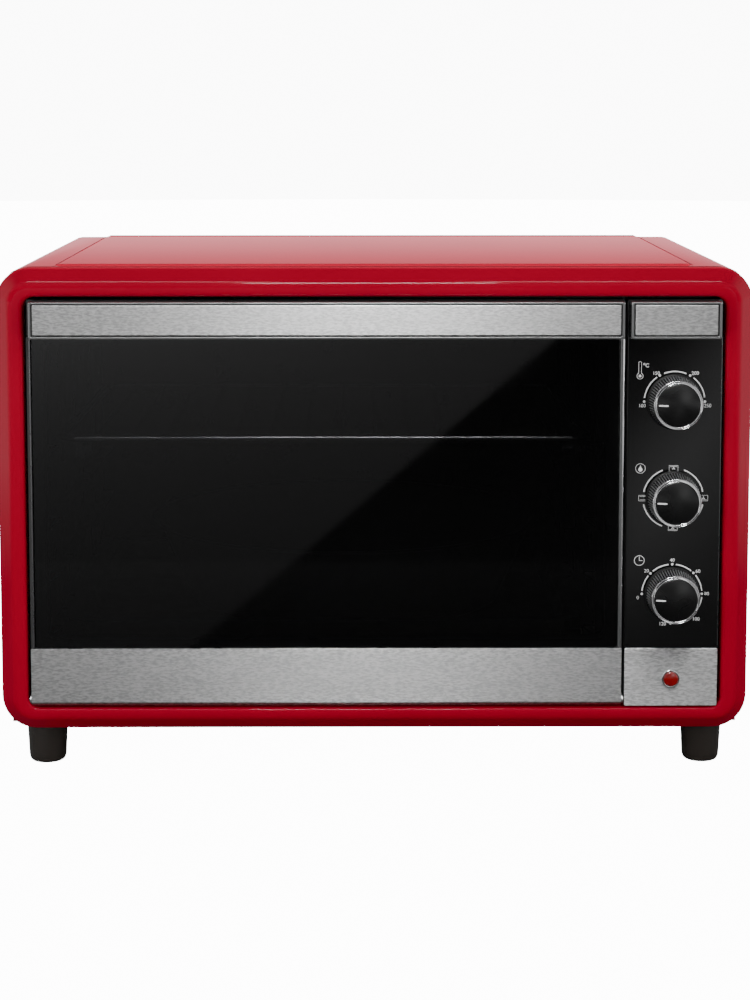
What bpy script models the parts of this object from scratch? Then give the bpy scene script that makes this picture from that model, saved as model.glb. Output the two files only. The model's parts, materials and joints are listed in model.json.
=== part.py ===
"""A 45 litre mini oven: red front frame, drop-down glass door, three knobs, rack, tray and pan.

Sizes are in metres. The oven stands on z = 0, its front faces -Y and the origin is below its middle.
"""
from math import cos, pi, radians, sin

import bmesh
import bpy
from mathutils import Matrix, Vector

# Clearances and sheet
GAP = 0.0003
OVERRUN = 0.004
SHEET = 0.0010

# Whole body
FRAME_WIDTH = 0.565
FRAME_HEIGHT = 0.351
BODY_DEPTH = 0.400
FOOT_HEIGHT = 0.032

# Front frame
FRAME_RADIUS = 0.026
FRAME_BEVEL_WIDTH = 0.011
FRAME_BEVEL_DEPTH = 0.011
FRAME_EDGE = 0.0016
FRAME_SIDE_BAR = 0.0105
FRAME_TOP_BAR = 0.0100
FRAME_BOTTOM_BAR = 0.0073
FRAME_OPENING_RADIUS = 0.004
FRAME_LIP = 0.012
FRAME_WALL = 0.0020
FRAME_FLANGE = 0.016
CORNER_STEPS = 5

# Cabinet
SIDE_STEP = 0.006
TOP_STEP = 0.0016
BOTTOM_STEP = 0.002
CABINET_RADIUS = 0.012
EMBOSS = 0.0010
EMBOSS_SIDE = 0.0335
EMBOSS_FRONT = 0.030
EMBOSS_SLOPE = 0.003
SHELL_LIP = 0.008
SHELL_SIDE_SLOTS = 7
SLOT_WIDTH = 0.0035
SLOT_PITCH = 0.009
SHELL_SLOT_LENGTH = 0.050
SHELL_SLOT_Z = 0.115
SHELL_SLOT_BACK = 0.090

# Rear cover
REAR_FIELD = 0.007
REAR_MARGIN = 0.022
REAR_SLOPE = 0.006
REAR_SLOT_COUNT = 9
REAR_SLOT_LENGTH = 0.060
REAR_SLOT_ROWS = 2
REAR_SLOT_ROW_PITCH = 0.110

# Base plate
BASE_SLOT_COUNT = 8
BASE_SLOT_LENGTH = 0.060
BASE_RIB_WIDTH = 0.016
BASE_RIB_HEIGHT = 0.003
BASE_RIB_SHARES = (-0.25, 0.25)

# Feet
FOOT_TOP_RADIUS = 0.0158
FOOT_BOTTOM_RADIUS = 0.0142
FOOT_ROUND = 0.003
FOOT_INSET_X = 0.0303
FOOT_FRONT = 0.0385
FOOT_REAR = 0.050
FOOT_STEPS = 20

# Door
DOOR_DEPTH = 0.020
DOOR_CLEARANCE = 0.0012
DOOR_GAP = 0.0025
DOOR_BOTTOM_GAP = 0.0013
DIVIDE_GAP = 0.0022
HINGE_INSET = 0.0048
HINGE_RISE = 0.0043
DOOR_CHAMFER = 0.0027
DOOR_RAIL = 0.012
WINDOW_MARGIN = 0.006
WINDOW_RADIUS = 0.006
DOOR_PLATE_HEIGHT = 0.0445
PLATE_SKIN = 0.0008
PLATE_LIP = 0.010
GLASS_THICKNESS = 0.004
GLASS_SETBACK = 0.0010
TRIM_WIDTH = 0.0030
PIN_RADIUS = 0.0020
PIN_LENGTH = 0.016
BRACKET_THICKNESS = 0.0012
BRACKET_RADIUS = 0.0034
BRACKET_PLAY = 0.0004

# Handle
HANDLE_REACH = 0.018
HANDLE_HEIGHT = 0.0272
HANDLE_ROUND = 0.0013
HANDLE_END = 0.0045
HANDLE_WALL = 0.0035
HANDLE_BACK = 0.0030
HANDLE_TOP_WALL = 0.0050
HANDLE_MARGIN_SIDE = 0.0028
HANDLE_MARGIN_TOP = 0.0014
HANDLE_MARGIN_BOTTOM = 0.0028
BEZEL_END = 0.0035

# Control panel
PANEL_WIDTH = 0.0703
PANEL_WALL = 0.0020
FASCIA_THICKNESS = 0.0014
FASCIA_RADIUS = 0.0015
LAMP_RISE = 0.0212
LAMP_RADIUS = 0.0054
LAMP_BEZEL_WIDTH = 0.0014
LAMP_BEZEL_PROUD = 0.0014
LAMP_DOME = 0.0022
LAMP_BODY = 0.012

# Knobs
KNOB_REACH = 0.025
KNOB_DROP_SHARES = (0.2464, 0.4831, 0.7199)
KNOB_BASE_RADIUS = 0.0209
KNOB_FACE_RADIUS = 0.0182
KNOB_FLANGE = 0.0024
KNOB_LIFT = 0.0007
KNOB_KNURL = 0.0008
KNOB_RIBS = 16
KNOB_STEPS = 24
KNOB_RING_WIDTH = 0.0016
KNOB_CAP_DEPTH = 0.0050
KNOB_RING_DROP = 0.0010
KNOB_DOME = 0.0007
POINTER_LENGTH = 0.0080
POINTER_WIDTH = 0.0012
POINTER_HEIGHT = 0.0006
POINTER_EDGE = 0.0012
SHAFT_RADIUS = 0.0030
SHAFT_GRIP = 0.013
SHAFT_REACH = 0.009
SHAFT_HOLE = 0.0042

# Control bodies behind the panel
THERMOSTAT_RADIUS = 0.017
THERMOSTAT_DEPTH = 0.030
SWITCH_WIDTH = 0.036
SWITCH_DEPTH = 0.034
TIMER_WIDTH = 0.048
TIMER_DEPTH = 0.040
TIMER_BELL_RADIUS = 0.019
TIMER_BELL_DEPTH = 0.010
TERMINAL_WIDTH = 0.0063
TERMINAL_THICKNESS = 0.0012
TERMINAL_LENGTH = 0.009
BODY_CHAMFER = 0.003

# Cavity
CAVITY_LEFT = 0.0305
CONTROL_SPACE = 0.1085
ROOF_SPACE = 0.0284
REAR_SPACE = 0.0328
CAVITY_FLOOR = 0.030
CAVITY_RADIUS = 0.006
RAIL_REACH = 0.009
RAIL_EDGE = 0.0025
RAIL_DROP = 0.009
TRAY_LEVEL = 0.047
RACK_DROP = 0.105
TRAY_RAIL_SHARES = (0, 0.3, 0.6)

# Heaters
HEATER_RADIUS = 0.0034
HEATER_SPREAD = 0.150
HEATER_BEND = 0.030
HEATER_REACH = 0.022
HEATER_TOP_DROP = 0.020
HEATER_BOTTOM_RISE = 0.016
HEATER_TAIL = 0.016
HEATER_BUSH_RADIUS = 0.0075
HEATER_BUSH_FLANGE = 0.0030
HEATER_BEND_STEPS = 6

# Convection fan
FAN_DROP = 0.053
FAN_RADIUS = 0.038
FAN_DEPTH = 0.012
FAN_HUB_RADIUS = 0.009
FAN_BLADES = 10
FAN_BLADE_THICKNESS = 0.0012
FAN_BLADE_TURN = 0.55
FAN_CLEARANCE = 0.003
FAN_SHAFT_RADIUS = 0.0025
FAN_SHAFT_LENGTH = 0.014
SHROUD_RADIUS = 0.044
SHROUD_FLANGE = 0.005
GUARD_RADIUS = 0.046
GUARD_EDGE = 0.0025
GUARD_HOLE_RADIUS = 0.0032
GUARD_RINGS = 2
GUARD_RING_PITCH = 0.0135
GUARD_STEPS = 24
MOTOR_RADIUS = 0.024
MOTOR_DEPTH = 0.030

# Rotisserie drive
SPIT_SHARE = 0.57
SOCKET_RADIUS = 0.0075
SOCKET_REACH = 0.012
SOCKET_BORE = 0.0048
SPIT_MOTOR_WIDTH = 0.040
SPIT_MOTOR_DEPTH = 0.026
SPIT_SHAFT_RADIUS = 0.0035
SUPPORT_WIDTH = 0.016
SUPPORT_REACH = 0.012
SUPPORT_NOTCH = 0.0045

# Rack
RACK_SIDE = 0.005
RACK_FRONT = 0.010
RACK_BACK = 0.017
RACK_WIRE_RADIUS = 0.0025
RACK_BAR_RADIUS = 0.0015
RACK_BARS = 14
RACK_CORNER = 0.014

# Tray
TRAY_SIDE = 0.018
TRAY_FRONT = 0.020
TRAY_BACK = 0.025
TRAY_HEIGHT = 0.0165
TRAY_RIM = 0.012
TRAY_WALL = 0.0010
TRAY_TAPER = 0.004
TRAY_CORNER = 0.018

# Cake pan
PAN_RIM_SHARE = 0.9626
PAN_BASE_SHARE = 0.7653
PAN_HEIGHT = 0.068
PAN_WALL = 0.0012
PAN_RIM = 0.006
PAN_OFFSET_SHARE = 0.0423
PAN_STEPS = 32

# Mains inlet
INLET_RADIUS = 0.0085
INLET_BORE = 0.0040
INLET_FLANGE = 0.0030
INLET_LENGTH = 0.010
INLET_SIDE = 0.060
INLET_RISE = 0.055


# Layout that follows from the driving sizes
FRONT = -(BODY_DEPTH + INLET_FLANGE - KNOB_REACH) / 2
REAR = FRONT + BODY_DEPTH
OUTER = (-FRAME_WIDTH / 2, FRAME_WIDTH / 2, FOOT_HEIGHT, FOOT_HEIGHT + FRAME_HEIGHT)
OPENING = (
    OUTER[0] + FRAME_BEVEL_WIDTH + FRAME_SIDE_BAR,
    OUTER[1] - FRAME_BEVEL_WIDTH - FRAME_SIDE_BAR,
    OUTER[2] + FRAME_BEVEL_WIDTH + FRAME_BOTTOM_BAR,
    OUTER[3] - FRAME_BEVEL_WIDTH - FRAME_TOP_BAR,
)
CABINET = (OUTER[0] + SIDE_STEP, OUTER[1] - SIDE_STEP, OUTER[2] + BOTTOM_STEP, OUTER[3] - TOP_STEP)
PLATE_FRONT = FRONT + DOOR_DEPTH + DOOR_CLEARANCE
PLATE_BACK = PLATE_FRONT + SHEET
PANEL = (OPENING[1] - DOOR_GAP - PANEL_WIDTH, OPENING[1] - DOOR_GAP, OPENING[2] + DOOR_BOTTOM_GAP,
         OPENING[3] - DOOR_GAP)
DOOR = (OPENING[0] + DOOR_GAP, PANEL[0] - DIVIDE_GAP, OPENING[2] + DOOR_BOTTOM_GAP, PANEL[3])
HINGE = Vector((0, FRONT + HINGE_INSET, DOOR[2] + HINGE_RISE))
STRIP_TOP = DOOR[2] + DOOR_PLATE_HEIGHT
HANDLE_BOTTOM = DOOR[3] - HANDLE_HEIGHT
CAVITY = (
    CABINET[0] + CAVITY_LEFT,
    CABINET[1] - CONTROL_SPACE,
    OUTER[2] + CAVITY_FLOOR,
    CABINET[3] - ROOF_SPACE,
)
CAVITY_BACK = REAR - REAR_SPACE
CAVITY_MIDDLE = (PLATE_BACK + CAVITY_BACK) / 2
KNOB_X = (PANEL[0] + PANEL[1]) / 2


def arc(centre, radius, start, end, steps):
    """Points of an arc, both ends included, with angles in degrees."""
    turn = [radians(start + (end - start) * i / steps) for i in range(steps + 1)]
    return [(centre[0] + radius * cos(a), centre[1] + radius * sin(a)) for a in turn]


def grown(rect, distance):
    """A rectangle (x0, x1, z0, z1) moved outwards on its four sides."""
    return (rect[0] - distance, rect[1] + distance, rect[2] - distance, rect[3] + distance)


def rounded(rect, radius, steps=CORNER_STEPS):
    """Outline of a rectangle with round corners, counter-clockwise from its lower right corner."""
    left, right, low, high = rect[0] + radius, rect[1] - radius, rect[2] + radius, rect[3] - radius
    return (arc((right, low), radius, -90, 0, steps) + arc((right, high), radius, 0, 90, steps)
            + arc((left, high), radius, 90, 180, steps) + arc((left, low), radius, 180, 270, steps))


def offset(points, distance, closed=True):
    """The outline moved to the right of its direction of travel, with mitred corners."""
    moved = []
    count = len(points)
    for i, point in enumerate(points):
        before = points[i - 1] if closed or i else None
        after = points[(i + 1) % count] if closed or i < count - 1 else None
        normals = []
        for a, b in ((before, point), (point, after)):
            if a is not None and b is not None:
                run = Vector((b[0] - a[0], b[1] - a[1])).normalized()
                normals.append(Vector((run.y, -run.x)))
        middle = normals[0] + normals[-1]
        middle *= 2 / middle.length_squared
        moved.append((point[0] + middle.x * distance, point[1] + middle.y * distance))
    return moved


def thicken(line, thickness):
    """Closed outline of a sheet whose one side is the line and whose other lies to its right."""
    return line + offset(line, thickness, closed=False)[::-1]


def at_y(points, y):
    return [Vector((u, y, v)) for u, v in points]


def at_x(points, x):
    return [Vector((x, u, v)) for u, v in points]


def at_z(points, z):
    return [Vector((u, v, z)) for u, v in points]


def loft(rings, closed=False):
    """A closed body through rings of equally many points; its ends are capped unless it is a loop."""
    mesh = bmesh.new()
    loops = [[mesh.verts.new(point) for point in ring] for ring in rings]
    pairs = list(zip(loops, loops[1:]))
    if closed:
        pairs.append((loops[-1], loops[0]))
    else:
        mesh.faces.new(loops[0][::-1])
        mesh.faces.new(loops[-1])
    for low, high in pairs:
        for i in range(len(low)):
            j = (i + 1) % len(low)
            mesh.faces.new((low[i], low[j], high[j], high[i]))
    bmesh.ops.recalc_face_normals(mesh, faces=mesh.faces)
    return mesh


def prism_x(points, start, end):
    return loft([at_x(points, start), at_x(points, end)])


def prism_y(points, start, end):
    return loft([at_y(points, start), at_y(points, end)])


def prism_z(points, start, end):
    return loft([at_z(points, start), at_z(points, end)])


def block(rect, start, end):
    """A box whose x and z limits are the rectangle's and which runs from start to end in y."""
    corners = [(rect[0], rect[2]), (rect[1], rect[2]), (rect[1], rect[3]), (rect[0], rect[3])]
    return prism_y(corners, start, end)


def turned(profile, steps, closed=False):
    """A turned body about +Z. A profile point is (radius, height) or (radius, height, groove)."""
    mesh = bmesh.new()
    rings = []
    for point in profile:
        radius, height = point[0], point[1]
        groove = point[2] if len(point) > 2 else 0
        if radius == 0:
            rings.append([mesh.verts.new((0, 0, height))] * steps)
            continue
        ring = []
        for i in range(steps):
            angle = 2 * pi * i / steps
            reach = radius - groove * (i % 2)
            ring.append(mesh.verts.new((reach * cos(angle), reach * sin(angle), height)))
        rings.append(ring)
    pairs = list(zip(rings, rings[1:]))
    if closed:
        pairs.append((rings[-1], rings[0]))
    for low, high in pairs:
        for i in range(steps):
            j = (i + 1) % steps
            corners = []
            for corner in (low[i], low[j], high[j], high[i]):
                if corner not in corners:
                    corners.append(corner)
            mesh.faces.new(corners)
    bmesh.ops.recalc_face_normals(mesh, faces=mesh.faces)
    return mesh


def pointed(mesh, origin, toward):
    """Turns a body made about +Z to another direction and sets its zero at the origin given."""
    turn = Vector((0, 0, 1)).rotation_difference(Vector(toward)).to_matrix().to_4x4()
    bmesh.ops.transform(mesh, matrix=Matrix.Translation(origin) @ turn, verts=mesh.verts)
    return mesh


def rod(radius, start, end, steps=12):
    """A plain round bar from one point to another."""
    start, end = Vector(start), Vector(end)
    length = (end - start).length
    return pointed(turned([(0, 0), (radius, 0), (radius, length), (0, length)], steps), start,
                   (end - start).normalized())


FINISHES = {
    "red_paint": ((0.42, 0.006, 0.018), 0.28, 0.0),
    "black_plastic": ((0.018, 0.018, 0.019), 0.35, 0.0),
    "dark_grey_plastic": ((0.055, 0.055, 0.058), 0.25, 0.0),
    "foot_plastic": ((0.032, 0.027, 0.023), 0.3, 0.0),
    "brushed_steel": ((0.55, 0.55, 0.55), 0.32, 1.0),
    "bright_steel": ((0.78, 0.78, 0.78), 0.15, 1.0),
    "zinc_steel": ((0.42, 0.43, 0.44), 0.45, 1.0),
    "black_enamel": ((0.020, 0.020, 0.021), 0.3, 0.0),
    "dark_glass": ((0.010, 0.010, 0.011), 0.05, 0.0),
    "gloss_black": ((0.008, 0.008, 0.008), 0.08, 0.0),
    "knob_silver": ((0.35, 0.35, 0.36), 0.3, 1.0),
    "lamp_red": ((0.25, 0.0, 0.0), 0.15, 0.0),
    "ceramic": ((0.75, 0.72, 0.66), 0.6, 0.0),
    "heater_steel": ((0.22, 0.22, 0.21), 0.4, 1.0),
    "pan_coating": ((0.035, 0.035, 0.036), 0.4, 0.2),
}


def material(finish):
    """The named finish, made once and shared by the pieces that have it."""
    found = bpy.data.materials.get(finish)
    if found:
        return found
    colour, roughness, metallic = FINISHES[finish]
    made = bpy.data.materials.new(finish)
    made.use_nodes = True
    shader = made.node_tree.nodes["Principled BSDF"]
    shader.inputs["Base Color"].default_value = (*colour, 1)
    shader.inputs["Roughness"].default_value = roughness
    shader.inputs["Metallic"].default_value = metallic
    made.diffuse_color = (*colour, 1)
    return made


def solid(name, mesh, finish, pivot=None):
    """One sub-part: its mesh as an object, under its pivot if it moves."""
    data = bpy.data.meshes.new(name)
    if pivot is not None:
        bmesh.ops.translate(mesh, vec=-pivot.location, verts=mesh.verts)
    mesh.to_mesh(data)
    mesh.free()
    data.shade_smooth()
    data.set_sharp_from_angle(angle=radians(32))
    data.materials.append(material(finish))
    made = bpy.data.objects.new(name, data)
    bpy.context.collection.objects.link(made)
    made.parent = pivot
    return made


def pivot(name, place):
    """An empty on a joint's axis, which carries the pieces that move with it."""
    made = bpy.data.objects.new(name, None)
    made.location = place
    made.empty_display_size = KNOB_FACE_RADIUS
    bpy.context.collection.objects.link(made)
    return made


def joined(meshes):
    """Several bodies in one mesh, for a tool that cuts or adds them in one step."""
    whole = bmesh.new()
    for mesh in meshes:
        data = bpy.data.meshes.new("passing")
        mesh.to_mesh(data)
        mesh.free()
        whole.from_mesh(data)
        bpy.data.meshes.remove(data)
    return whole


def shaped(target, meshes, operation="DIFFERENCE"):
    """Cuts the bodies from a sub-part, or adds them to it, with a hidden tool object."""
    tool = solid(f"{target.name}_{operation.lower()}_tool", joined(meshes), "zinc_steel", target.parent)
    tool.hide_render = True
    tool.display_type = "WIRE"
    change = target.modifiers.new(operation.lower(), "BOOLEAN")
    change.operation = operation
    change.object = tool


def slot_row(count, pitch, middle, length, width, frame):
    """Rectangles (u0, u1, v0, v1) of a row of slots; frame is 'u' when the row runs along u."""
    slots = []
    for i in range(count):
        along = (i - (count - 1) / 2) * pitch
        u, v = (middle[0] + along, middle[1]) if frame == "u" else (middle[0], middle[1] + along)
        wide, high = (width, length) if frame == "u" else (length, width)
        slots.append((u - wide / 2, u + wide / 2, v - high / 2, v + high / 2))
    return slots


def front_frame():
    """Moulded frame: bevelled outer edge, flat face, return lips at the opening and at the back."""
    back = PLATE_FRONT - GAP
    crease = grown(OUTER, -FRAME_BEVEL_WIDTH)
    rings = []

    def ring(rect, y, radius):
        rings.append(at_y(rounded(rect, radius), y))

    ring(OUTER, back, FRAME_RADIUS)
    ring(OUTER, FRONT + FRAME_BEVEL_DEPTH + FRAME_EDGE, FRAME_RADIUS)
    ring(grown(OUTER, -FRAME_EDGE / 2), FRONT + FRAME_BEVEL_DEPTH - FRAME_EDGE / 2,
         FRAME_RADIUS - FRAME_EDGE / 2)
    ring(grown(crease, FRAME_EDGE), FRONT + FRAME_EDGE, FRAME_RADIUS - FRAME_BEVEL_WIDTH + FRAME_EDGE)
    ring(grown(crease, FRAME_EDGE / 3), FRONT + FRAME_EDGE / 3,
         FRAME_RADIUS - FRAME_BEVEL_WIDTH + FRAME_EDGE / 3)
    ring(grown(crease, -FRAME_EDGE), FRONT, FRAME_RADIUS - FRAME_BEVEL_WIDTH - FRAME_EDGE)
    ring(grown(OPENING, FRAME_EDGE), FRONT, FRAME_OPENING_RADIUS + FRAME_EDGE)
    ring(grown(OPENING, FRAME_EDGE / 3), FRONT + FRAME_EDGE / 3, FRAME_OPENING_RADIUS + FRAME_EDGE / 3)
    ring(OPENING, FRONT + FRAME_EDGE, FRAME_OPENING_RADIUS)
    ring(OPENING, FRONT + FRAME_LIP, FRAME_OPENING_RADIUS)
    ring(grown(OPENING, FRAME_WALL), FRONT + FRAME_LIP, FRAME_OPENING_RADIUS + FRAME_WALL)
    ring(grown(OPENING, FRAME_WALL), FRONT + FRAME_WALL, FRAME_OPENING_RADIUS + FRAME_WALL)
    ring(grown(crease, -FRAME_WALL / 2), FRONT + FRAME_WALL,
         FRAME_RADIUS - FRAME_BEVEL_WIDTH - FRAME_WALL / 2)
    ring(grown(OUTER, -FRAME_WALL), FRONT + FRAME_BEVEL_DEPTH + FRAME_WALL / 2, FRAME_RADIUS - FRAME_WALL)
    ring(grown(OUTER, -FRAME_WALL), back - FRAME_WALL, FRAME_RADIUS - FRAME_WALL)
    ring(grown(OUTER, -FRAME_FLANGE), back - FRAME_WALL, FRAME_RADIUS - FRAME_FLANGE)
    ring(grown(OUTER, -FRAME_FLANGE), back, FRAME_RADIUS - FRAME_FLANGE)
    solid("front_frame", loft(rings, closed=True), "red_paint")


def face_plate():
    """Steel plate behind the door and the panel, with the cavity's mouth and the shaft holes."""
    plate = solid("face_plate", prism_y(rounded(CABINET, CABINET_RADIUS), PLATE_FRONT, PLATE_BACK),
                  "black_enamel")
    mouth = prism_y(rounded(CAVITY, CAVITY_RADIUS), PLATE_FRONT - OVERRUN, PLATE_BACK + OVERRUN)
    holes = [rod(SHAFT_HOLE, (KNOB_X, PLATE_FRONT - OVERRUN, z), (KNOB_X, PLATE_BACK + OVERRUN, z))
             for z in knob_heights()]
    shaped(plate, [mouth] + holes)


def shell_line(rise, inset):
    """The cabinet shell's outline from one bottom lip over the top to the other."""
    rect = grown(CABINET, -inset)
    left, right, low, high = rect
    radius = CABINET_RADIUS - inset
    foot = SHELL_LIP - inset
    field = EMBOSS_SIDE - inset
    return ([(left + foot, low), (left, low)]
            + arc((left + radius, high - radius), radius, 180, 90, CORNER_STEPS)
            + [(left + field, high), (left + field + EMBOSS_SLOPE, high + rise),
               (right - field - EMBOSS_SLOPE, high + rise), (right - field, high)]
            + arc((right - radius, high - radius), radius, 90, 0, CORNER_STEPS)
            + [(right, low), (right - foot, low)])


def wrap_shell():
    """Folded sheet over the top and both sides, with a raised field on top and vents at one side."""
    start = PLATE_BACK + GAP
    end = REAR - REAR_FIELD - SHEET - GAP
    stations = ((start, 0), (start + EMBOSS_FRONT, 0), (start + EMBOSS_FRONT + EMBOSS_SLOPE, EMBOSS),
                (end, EMBOSS))
    rings = [at_y(shell_line(rise, 0) + shell_line(rise, SHEET)[::-1], y) for y, rise in stations]
    shell = solid("wrap_shell", loft(rings), "red_paint")
    middle = (end - SHELL_SLOT_BACK, OUTER[2] + SHELL_SLOT_Z)
    slots = slot_row(SHELL_SIDE_SLOTS, SLOT_PITCH, middle, SHELL_SLOT_LENGTH, SLOT_WIDTH, "v")
    shaped(shell, [prism_x(rounded(slot, SLOT_WIDTH / 3, 1), CABINET[1] - OVERRUN, CABINET[1] + OVERRUN)
                   for slot in slots])


def rear_cover():
    """Pressed rear cover with a raised field, two rows of vent slots and the mains inlet hole."""
    flange = REAR - REAR_FIELD
    field = grown(CABINET, -REAR_MARGIN)
    raised = grown(field, -REAR_SLOPE)
    rings = [
        at_y(rounded(CABINET, CABINET_RADIUS), flange - SHEET),
        at_y(rounded(CABINET, CABINET_RADIUS), flange),
        at_y(rounded(field, CABINET_RADIUS), flange),
        at_y(rounded(raised, CABINET_RADIUS), REAR),
    ]
    inner = [
        at_y(rounded(grown(raised, -SHEET / 2), CABINET_RADIUS), REAR - SHEET),
        at_y(rounded(grown(field, -SHEET / 2), CABINET_RADIUS), flange - SHEET),
    ]
    cover = solid("rear_cover", pressed(rings, inner), "zinc_steel")
    slots = []
    for row in range(REAR_SLOT_ROWS):
        side = (row - (REAR_SLOT_ROWS - 1) / 2) * REAR_SLOT_ROW_PITCH
        middle = ((CABINET[0] + CABINET[1]) / 2 + side, (CABINET[2] + CABINET[3]) / 2)
        slots += slot_row(REAR_SLOT_COUNT, SLOT_PITCH, middle, REAR_SLOT_LENGTH, SLOT_WIDTH, "v")
    cuts = [prism_y(rounded(slot, SLOT_WIDTH / 3, 1), REAR - OVERRUN, REAR + OVERRUN) for slot in slots]
    x, z = inlet_place()
    cuts.append(rod(INLET_RADIUS, (x, REAR - OVERRUN, z), (x, REAR + OVERRUN, z)))
    shaped(cover, cuts)


def pressed(outside, inside):
    """A sheet pressed into a dish: the rings of its outer side, then those of its inner side."""
    return loft(outside[::-1] + inside[::-1])


def inlet_place():
    return CABINET[1] - INLET_SIDE, CABINET[2] + INLET_RISE


def mains_inlet():
    """Rubber bushing in the rear cover, flanged on both sides of the sheet."""
    x, z = inlet_place()
    neck = INLET_RADIUS - GAP
    lip = INLET_RADIUS + INLET_FLANGE
    outer = SHEET + GAP
    profile = [(INLET_BORE, -INLET_LENGTH), (neck, -INLET_LENGTH), (neck, -outer - INLET_FLANGE),
               (lip, -outer - INLET_FLANGE), (lip, -outer), (neck, -outer), (neck, GAP), (lip, GAP),
               (lip, INLET_FLANGE / 2), (neck, INLET_FLANGE), (INLET_BORE, INLET_FLANGE)]
    bushing = pointed(turned(profile, 12, closed=True), (x, REAR, z), (0, 1, 0))
    solid("mains_inlet", bushing, "black_plastic")


def base_plate():
    """Bottom sheet with two stiffening ribs, turned-up sides and vent slots between the ribs."""
    left = CABINET[0] + SHEET + GAP
    right = CABINET[1] - SHEET - GAP
    low = CABINET[2] + SHEET + GAP
    line = [(left, low + SHELL_LIP), (left, low)]
    for share in BASE_RIB_SHARES:
        middle = share * (right - left)
        half = BASE_RIB_WIDTH / 2
        line += [(middle - half, low), (middle - half + BASE_RIB_HEIGHT, low + BASE_RIB_HEIGHT),
                 (middle + half - BASE_RIB_HEIGHT, low + BASE_RIB_HEIGHT), (middle + half, low)]
    line += [(right, low), (right, low + SHELL_LIP)]
    start = PLATE_BACK + GAP
    end = REAR - REAR_FIELD - SHEET - GAP
    plate = solid("base_plate", prism_y(thicken(line, -SHEET), start, end), "zinc_steel")
    slots = slot_row(BASE_SLOT_COUNT, SLOT_PITCH, (0, (start + end) / 2), BASE_SLOT_LENGTH, SLOT_WIDTH, "v")
    shaped(plate, [prism_z(rounded(slot, SLOT_WIDTH / 3, 1), low - OVERRUN, low + OVERRUN)
                   for slot in slots])


def foot_places():
    side = OUTER[1] - FOOT_INSET_X
    return {
        "foot_front_left": (-side, FRONT + FOOT_FRONT),
        "foot_front_right": (side, FRONT + FOOT_FRONT),
        "foot_rear_left": (-side, REAR - FOOT_REAR),
        "foot_rear_right": (side, REAR - FOOT_REAR),
    }


def feet():
    """Four tapered feet with a rounded lower edge, screwed under the base plate."""
    top = CABINET[2] + SHEET
    profile = [(0, 0), (FOOT_BOTTOM_RADIUS - FOOT_ROUND, 0),
               (FOOT_BOTTOM_RADIUS - FOOT_ROUND / 3, FOOT_ROUND / 3), (FOOT_BOTTOM_RADIUS, FOOT_ROUND),
               (FOOT_TOP_RADIUS, top), (0, top)]
    for name, (x, y) in foot_places().items():
        solid(name, pointed(turned(profile, FOOT_STEPS), (x, y, 0), (0, 0, 1)), "foot_plastic")


def rail_levels():
    """Heights of the rails' top faces: an even run for trays and, above it, one for the rack."""
    low = CAVITY[2] + TRAY_LEVEL
    high = CAVITY[3] - RACK_DROP
    return [low + share * (high - low) for share in TRAY_RAIL_SHARES] + [high]


def cavity_outline():
    """The cavity's inner outline with the rails pressed out of both side walls."""
    left, right, low, high = CAVITY
    r = CAVITY_RADIUS
    line = arc((right - r, low + r), r, -90, 0, 3)
    for top in rail_levels():
        line += [(right, top - RAIL_DROP), (right - RAIL_REACH, top - RAIL_EDGE), (right - RAIL_REACH, top),
                 (right, top)]
    line += arc((right - r, high - r), r, 0, 90, 3) + arc((left + r, high - r), r, 90, 180, 3)
    for top in reversed(rail_levels()):
        line += [(left, top), (left + RAIL_REACH, top), (left + RAIL_REACH, top - RAIL_EDGE),
                 (left, top - RAIL_DROP)]
    return line + arc((left + r, low + r), r, 180, 270, 3)


def heater_heights():
    return {"upper": CAVITY[3] - HEATER_TOP_DROP, "lower": CAVITY[2] + HEATER_BOTTOM_RISE}


def heater_ends():
    """Names and places of the four holes that the heaters' ends pass in the right wall."""
    half = HEATER_SPREAD / 2
    return {f"{level}_heater_{side}": (CAVITY_MIDDLE + shift, z)
            for level, z in heater_heights().items() for side, shift in (("front", -half), ("rear", half))}


def fan_place():
    return CAVITY_MIDDLE, CAVITY[3] - FAN_DROP


def spit_place():
    """The spit's axis, in the free space between the highest tray rail and the rack's rail."""
    low = rail_levels()[-2]
    high = rail_levels()[-1] - RAIL_DROP
    return CAVITY_MIDDLE, low + SPIT_SHARE * (high - low)


def cavity_liner():
    """The oven's inner box with its rails, open to the front, and the holes in its right wall."""
    inner = cavity_outline()
    outer = offset(inner, SHEET)
    start = PLATE_BACK + GAP
    rings = [at_y(inner, CAVITY_BACK), at_y(inner, start), at_y(outer, start),
             at_y(outer, CAVITY_BACK + SHEET)]
    liner = solid("cavity_liner", loft(rings), "black_enamel")
    wall = (CAVITY[1] - SHEET, CAVITY[1] + OVERRUN)
    holes = [(fan_place(), FAN_RADIUS + FAN_CLEARANCE, 32), (spit_place(), SPIT_SHAFT_RADIUS + GAP, 16)]
    holes += [(place, HEATER_BUSH_RADIUS - HEATER_BUSH_FLANGE, 16) for place in heater_ends().values()]
    shaped(liner, [rod(radius, (wall[0], *place), (wall[1], *place), steps)
                   for place, radius, steps in holes])


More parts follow.
